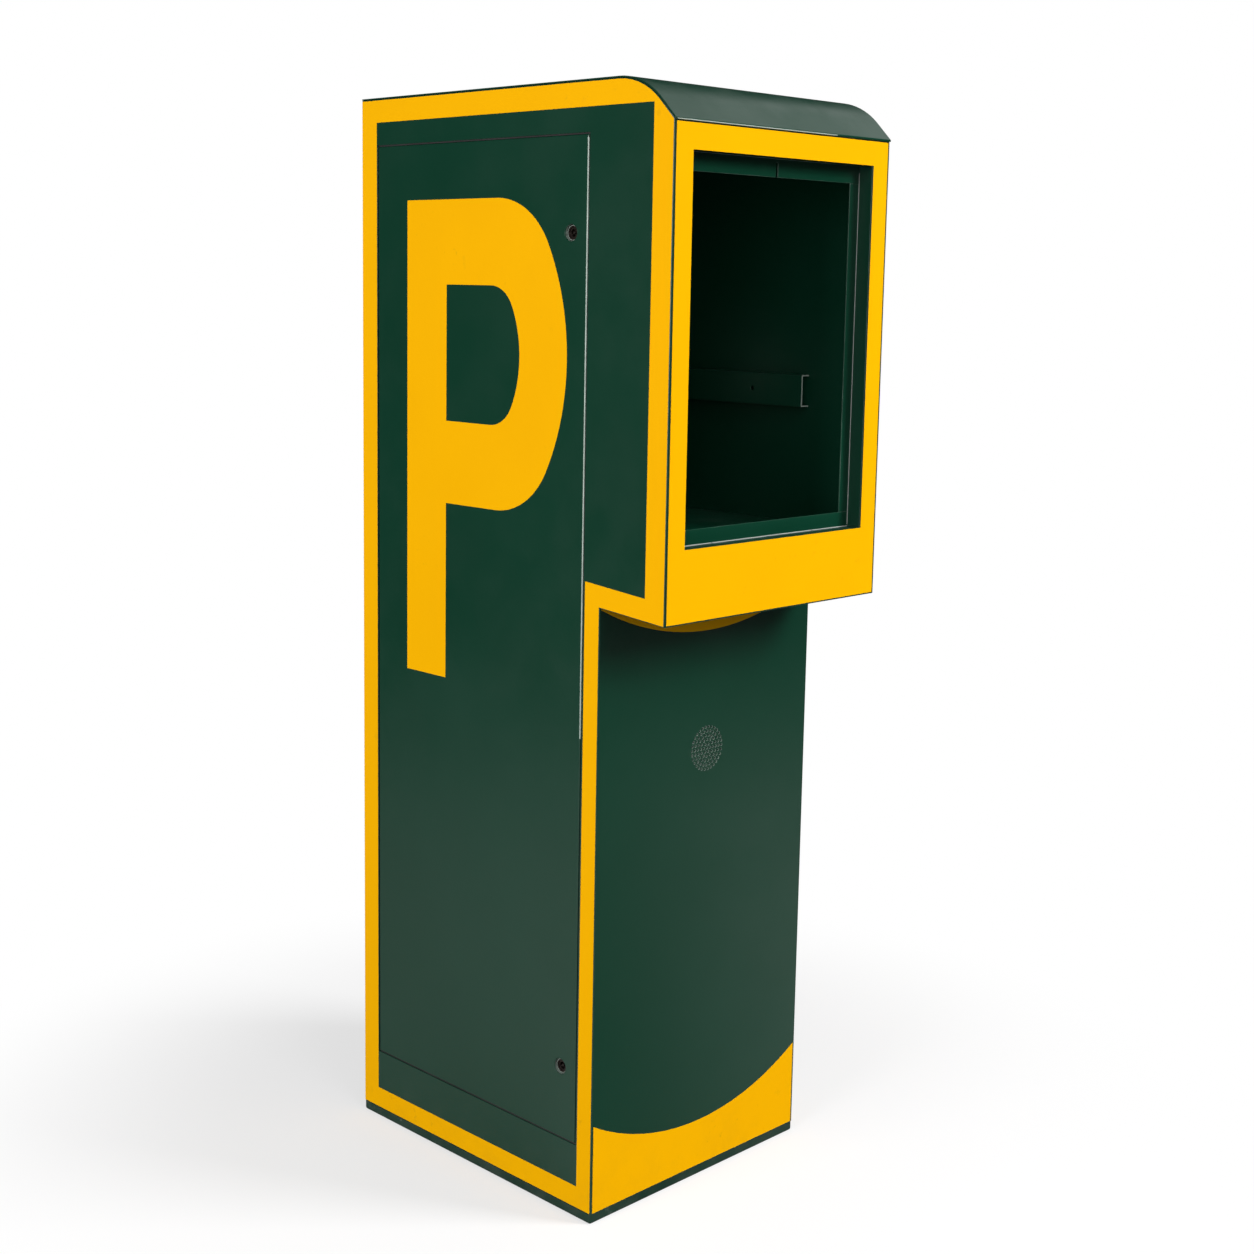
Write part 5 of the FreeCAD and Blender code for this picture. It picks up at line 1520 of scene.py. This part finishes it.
@dataclass(frozen=True)
class SoftBox:
    """A soft rectangular light."""

    name: str
    place: Point
    aim: Point
    size: tuple[float, float]
    watts: float
    spread: float = 180.0
    lights_matt: bool = True
    mirrored: bool = True

    def hang(self) -> None:
        """Puts the light in the studio."""
        light = bpy.data.lights.new(self.name, "AREA")
        light.shape = "RECTANGLE"
        light.size, light.size_y = self.size
        light.energy = self.watts
        light.spread = math.radians(self.spread)
        lamp = bpy.data.objects.new(self.name, light)
        lamp.location = self.place
        lamp.rotation_euler = (Vector(self.aim) - Vector(self.place)).to_track_quat("-Z", "Y").to_euler()
        lamp.visible_camera = False
        lamp.visible_diffuse = self.lights_matt
        lamp.visible_glossy = self.mirrored
        bpy.context.scene.collection.objects.link(lamp)


@dataclass(frozen=True)
class ViewCamera:
    """The camera: where it stands, which way it looks and its lens."""

    place: Point = (-1.9872, -2.0420, 1.3331)
    azimuth: float = -45.1217
    elevation: float = 8.5836
    roll: float = 0.9791
    lens: float = 53.66
    sensor: float = 36.0
    shift: tuple[float, float] = (0.0107, -0.0487)

    def set_up(self) -> None:
        """Adds the camera and makes it the scene's own."""
        turn, rise, roll = (math.radians(angle) for angle in (self.azimuth, self.elevation, self.roll))
        look = Vector((-math.sin(turn) * math.cos(rise), math.cos(turn) * math.cos(rise), -math.sin(rise)))
        level = Vector((math.cos(turn), math.sin(turn), 0.0))
        upward = level.cross(look)
        across = math.cos(roll) * level + math.sin(roll) * upward
        along = -math.sin(roll) * level + math.cos(roll) * upward
        data = bpy.data.cameras.new("view_camera")
        data.lens, data.sensor_width = self.lens, self.sensor
        data.shift_x, data.shift_y = self.shift
        camera = bpy.data.objects.new("view_camera", data)
        turned = Matrix((across, along, -look)).transposed().to_4x4()
        camera.matrix_world = Matrix.Translation(Vector(self.place)) @ turned
        bpy.context.scene.collection.objects.link(camera)
        bpy.context.scene.camera = camera


@dataclass
class Studio:
    """Pale floor that runs out into white, soft lights, and the camera."""

    floor_radius: float = 12.0
    floor_segments: int = 96
    seen_fade: tuple[float, float] = (0.5, 1.15)
    seen_glow: float = 0.6
    mirrored_fade: tuple[float, float] = (1.8, 3.5)
    floor_colour: Colour = (0.90, 0.895, 0.90)
    mirrored_edge: tuple[float, float] = (-0.75, 0.45)
    mirrored_colour: Colour = (0.62, 0.62, 0.62)
    dim_mirrored_colour: Colour = (0.03, 0.03, 0.03)
    bounce_colour: Colour = (0.08, 0.08, 0.08)
    mirrored_sky: Colour = (0.018, 0.020, 0.021)
    room_light: Colour = (0.22, 0.22, 0.22)
    lights: tuple[SoftBox, ...] = (
        SoftBox("front_right", (3.9, -5.6, 4.4), (0.0, -0.3, 0.1), (2.6, 2.6), 145.0, spread=90.0,
                mirrored=False),
        SoftBox("front_high", (-0.5, -3.4, 4.3), (0.0, -0.3, 0.9), (2.4, 2.0), 48.0),
        SoftBox("beside_camera", (-1.6, -3.4, 2.0), (0.0, 0.0, 1.2), (1.6, 1.2), 5.0),
        SoftBox("left", (-4.5, -0.4, 1.7), (0.0, 0.0, 0.6), (2.4, 2.4), 163.0),
        SoftBox("edge_light", (-2.4, -3.0, 2.3), (0.0, -0.2, 1.1), (1.3, 1.3), 25.0, lights_matt=False),
        SoftBox("window_glow", (0.0, -0.35, 1.25), (0.0, 0.3, 1.2), (0.34, 0.48), 0.3, mirrored=False),
        SoftBox("roof_glow", (2.6, -0.1, 3.9), (0.0, -0.2, 1.58), (1.8, 3.0), 15.0, lights_matt=False),
    )

    def build(self) -> None:
        """Sets up floor, sky, lights, colour and camera."""
        self._floor()
        self._sky()
        for light in self.lights:
            light.hang()
        bpy.context.scene.view_settings.view_transform = "Standard"
        ViewCamera().set_up()

    def _floor(self) -> None:
        """A round floor that shows white far off, and throws little light back at the machine."""
        shape = bmesh.new()
        bmesh.ops.create_circle(shape, cap_ends=True, segments=self.floor_segments, radius=self.floor_radius)
        mesh = bpy.data.meshes.new("studio_floor")
        shape.to_mesh(mesh)
        shape.free()
        floor = bpy.data.objects.new("studio_floor", mesh)
        bpy.context.scene.collection.objects.link(floor)
        material = bpy.data.materials.new("pale_floor")
        material.use_nodes = True
        bench = NodeBench(material.node_tree)
        near = material.node_tree.nodes["Principled BSDF"]
        near.inputs["Roughness"].default_value = 0.8
        near.inputs["Specular IOR Level"].default_value = 0.1
        path = bench.add("ShaderNodeLightPath").outputs
        place = bench.add("ShaderNodeTexCoord").outputs["Object"]
        distance = bench.add("ShaderNodeVectorMath", {0: place}, operation="LENGTH").outputs["Value"]
        # Painted light and shade on the floor as reflections show it: bright where X + Y passes 0.45 m or X
        # is below -0.4 m, dark in between, in front of the machine, and dark again from 1.8 m to 3.5 m out.
        away = bench.ramp(distance, *self.mirrored_fade)
        sides = bench.add("ShaderNodeSeparateXYZ", {0: place}).outputs
        right_part = bench.ramp(bench.math("ADD", sides["X"], sides["Y"]), *self.mirrored_edge)
        lit_part = bench.math("MAXIMUM", right_part, bench.ramp(sides["X"], 0.0, -0.4))
        dim = bench.math("MAXIMUM", away, bench.math("SUBTRACT", 1.0, lit_part))
        mirrored = bench.mix(dim, opaque(self.mirrored_colour), opaque(self.dim_mirrored_colour))
        thrown = bench.mix(path["Is Diffuse Ray"], mirrored, opaque(self.bounce_colour))
        cloud = bench.ramp(bench.noise(1.2, detail=3.0), 0.3, 0.7)
        paler = tuple(min(1.0, 1.015 * channel) for channel in self.floor_colour)
        seen = bench.mix(cloud, opaque(self.floor_colour), opaque(paler))
        bench.feed(near, "Base Color", bench.mix(path["Is Camera Ray"], thrown, seen))
        white = bench.add("ShaderNodeEmission", {"Color": opaque((1.0, 1.0, 1.0)), "Strength": 1.0})
        out_of_sight = bench.ramp(distance, *self.seen_fade, to_low=self.seen_glow)
        share = bench.math("MULTIPLY", out_of_sight, path["Is Camera Ray"])
        mixed = bench.add("ShaderNodeMixShader", {0: share, 1: near.outputs[0], 2: white.outputs[0]})
        bench.feed(material.node_tree.nodes["Material Output"], "Surface", mixed.outputs[0])
        mesh.materials.append(material)

    def _sky(self) -> None:
        """White where it is seen, dark where it is mirrored, and an even soft light on matt faces."""
        world = bpy.data.worlds.new("studio_room")
        world.use_nodes = True
        bench = NodeBench(world.node_tree)
        room = world.node_tree.nodes["Background"]
        path = bench.add("ShaderNodeLightPath").outputs
        light = bench.mix(path["Is Glossy Ray"], opaque(self.room_light), opaque(self.mirrored_sky))
        bench.feed(room, "Color", light)
        white = bench.add("ShaderNodeBackground", {"Color": opaque((1.0, 1.0, 1.0)), "Strength": 1.0})
        inputs = {0: path["Is Camera Ray"], 1: room.outputs[0], 2: white.outputs[0]}
        mixed = bench.add("ShaderNodeMixShader", inputs)
        bench.feed(world.node_tree.nodes["World Output"], "Surface", mixed.outputs[0])
        bpy.context.scene.world = world


def main() -> None:
    """Builds the machine in the order it is put together, then the studio round it."""
    logging.basicConfig(level=logging.INFO, format="%(message)s")
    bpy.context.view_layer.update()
    shop = Assembler()
    for part in (Casing, Graphics, WindowRebate, DoorSurround, ServiceDoor, HeadInterior, TicketPrinter,
                 Loudspeaker, CoinVault, Battery, PowerAndControl, CableEntry):
        log.info("-- %s", part.__name__)
        part(shop).build()
    Studio().build()


if __name__ == "__main__":
    main()
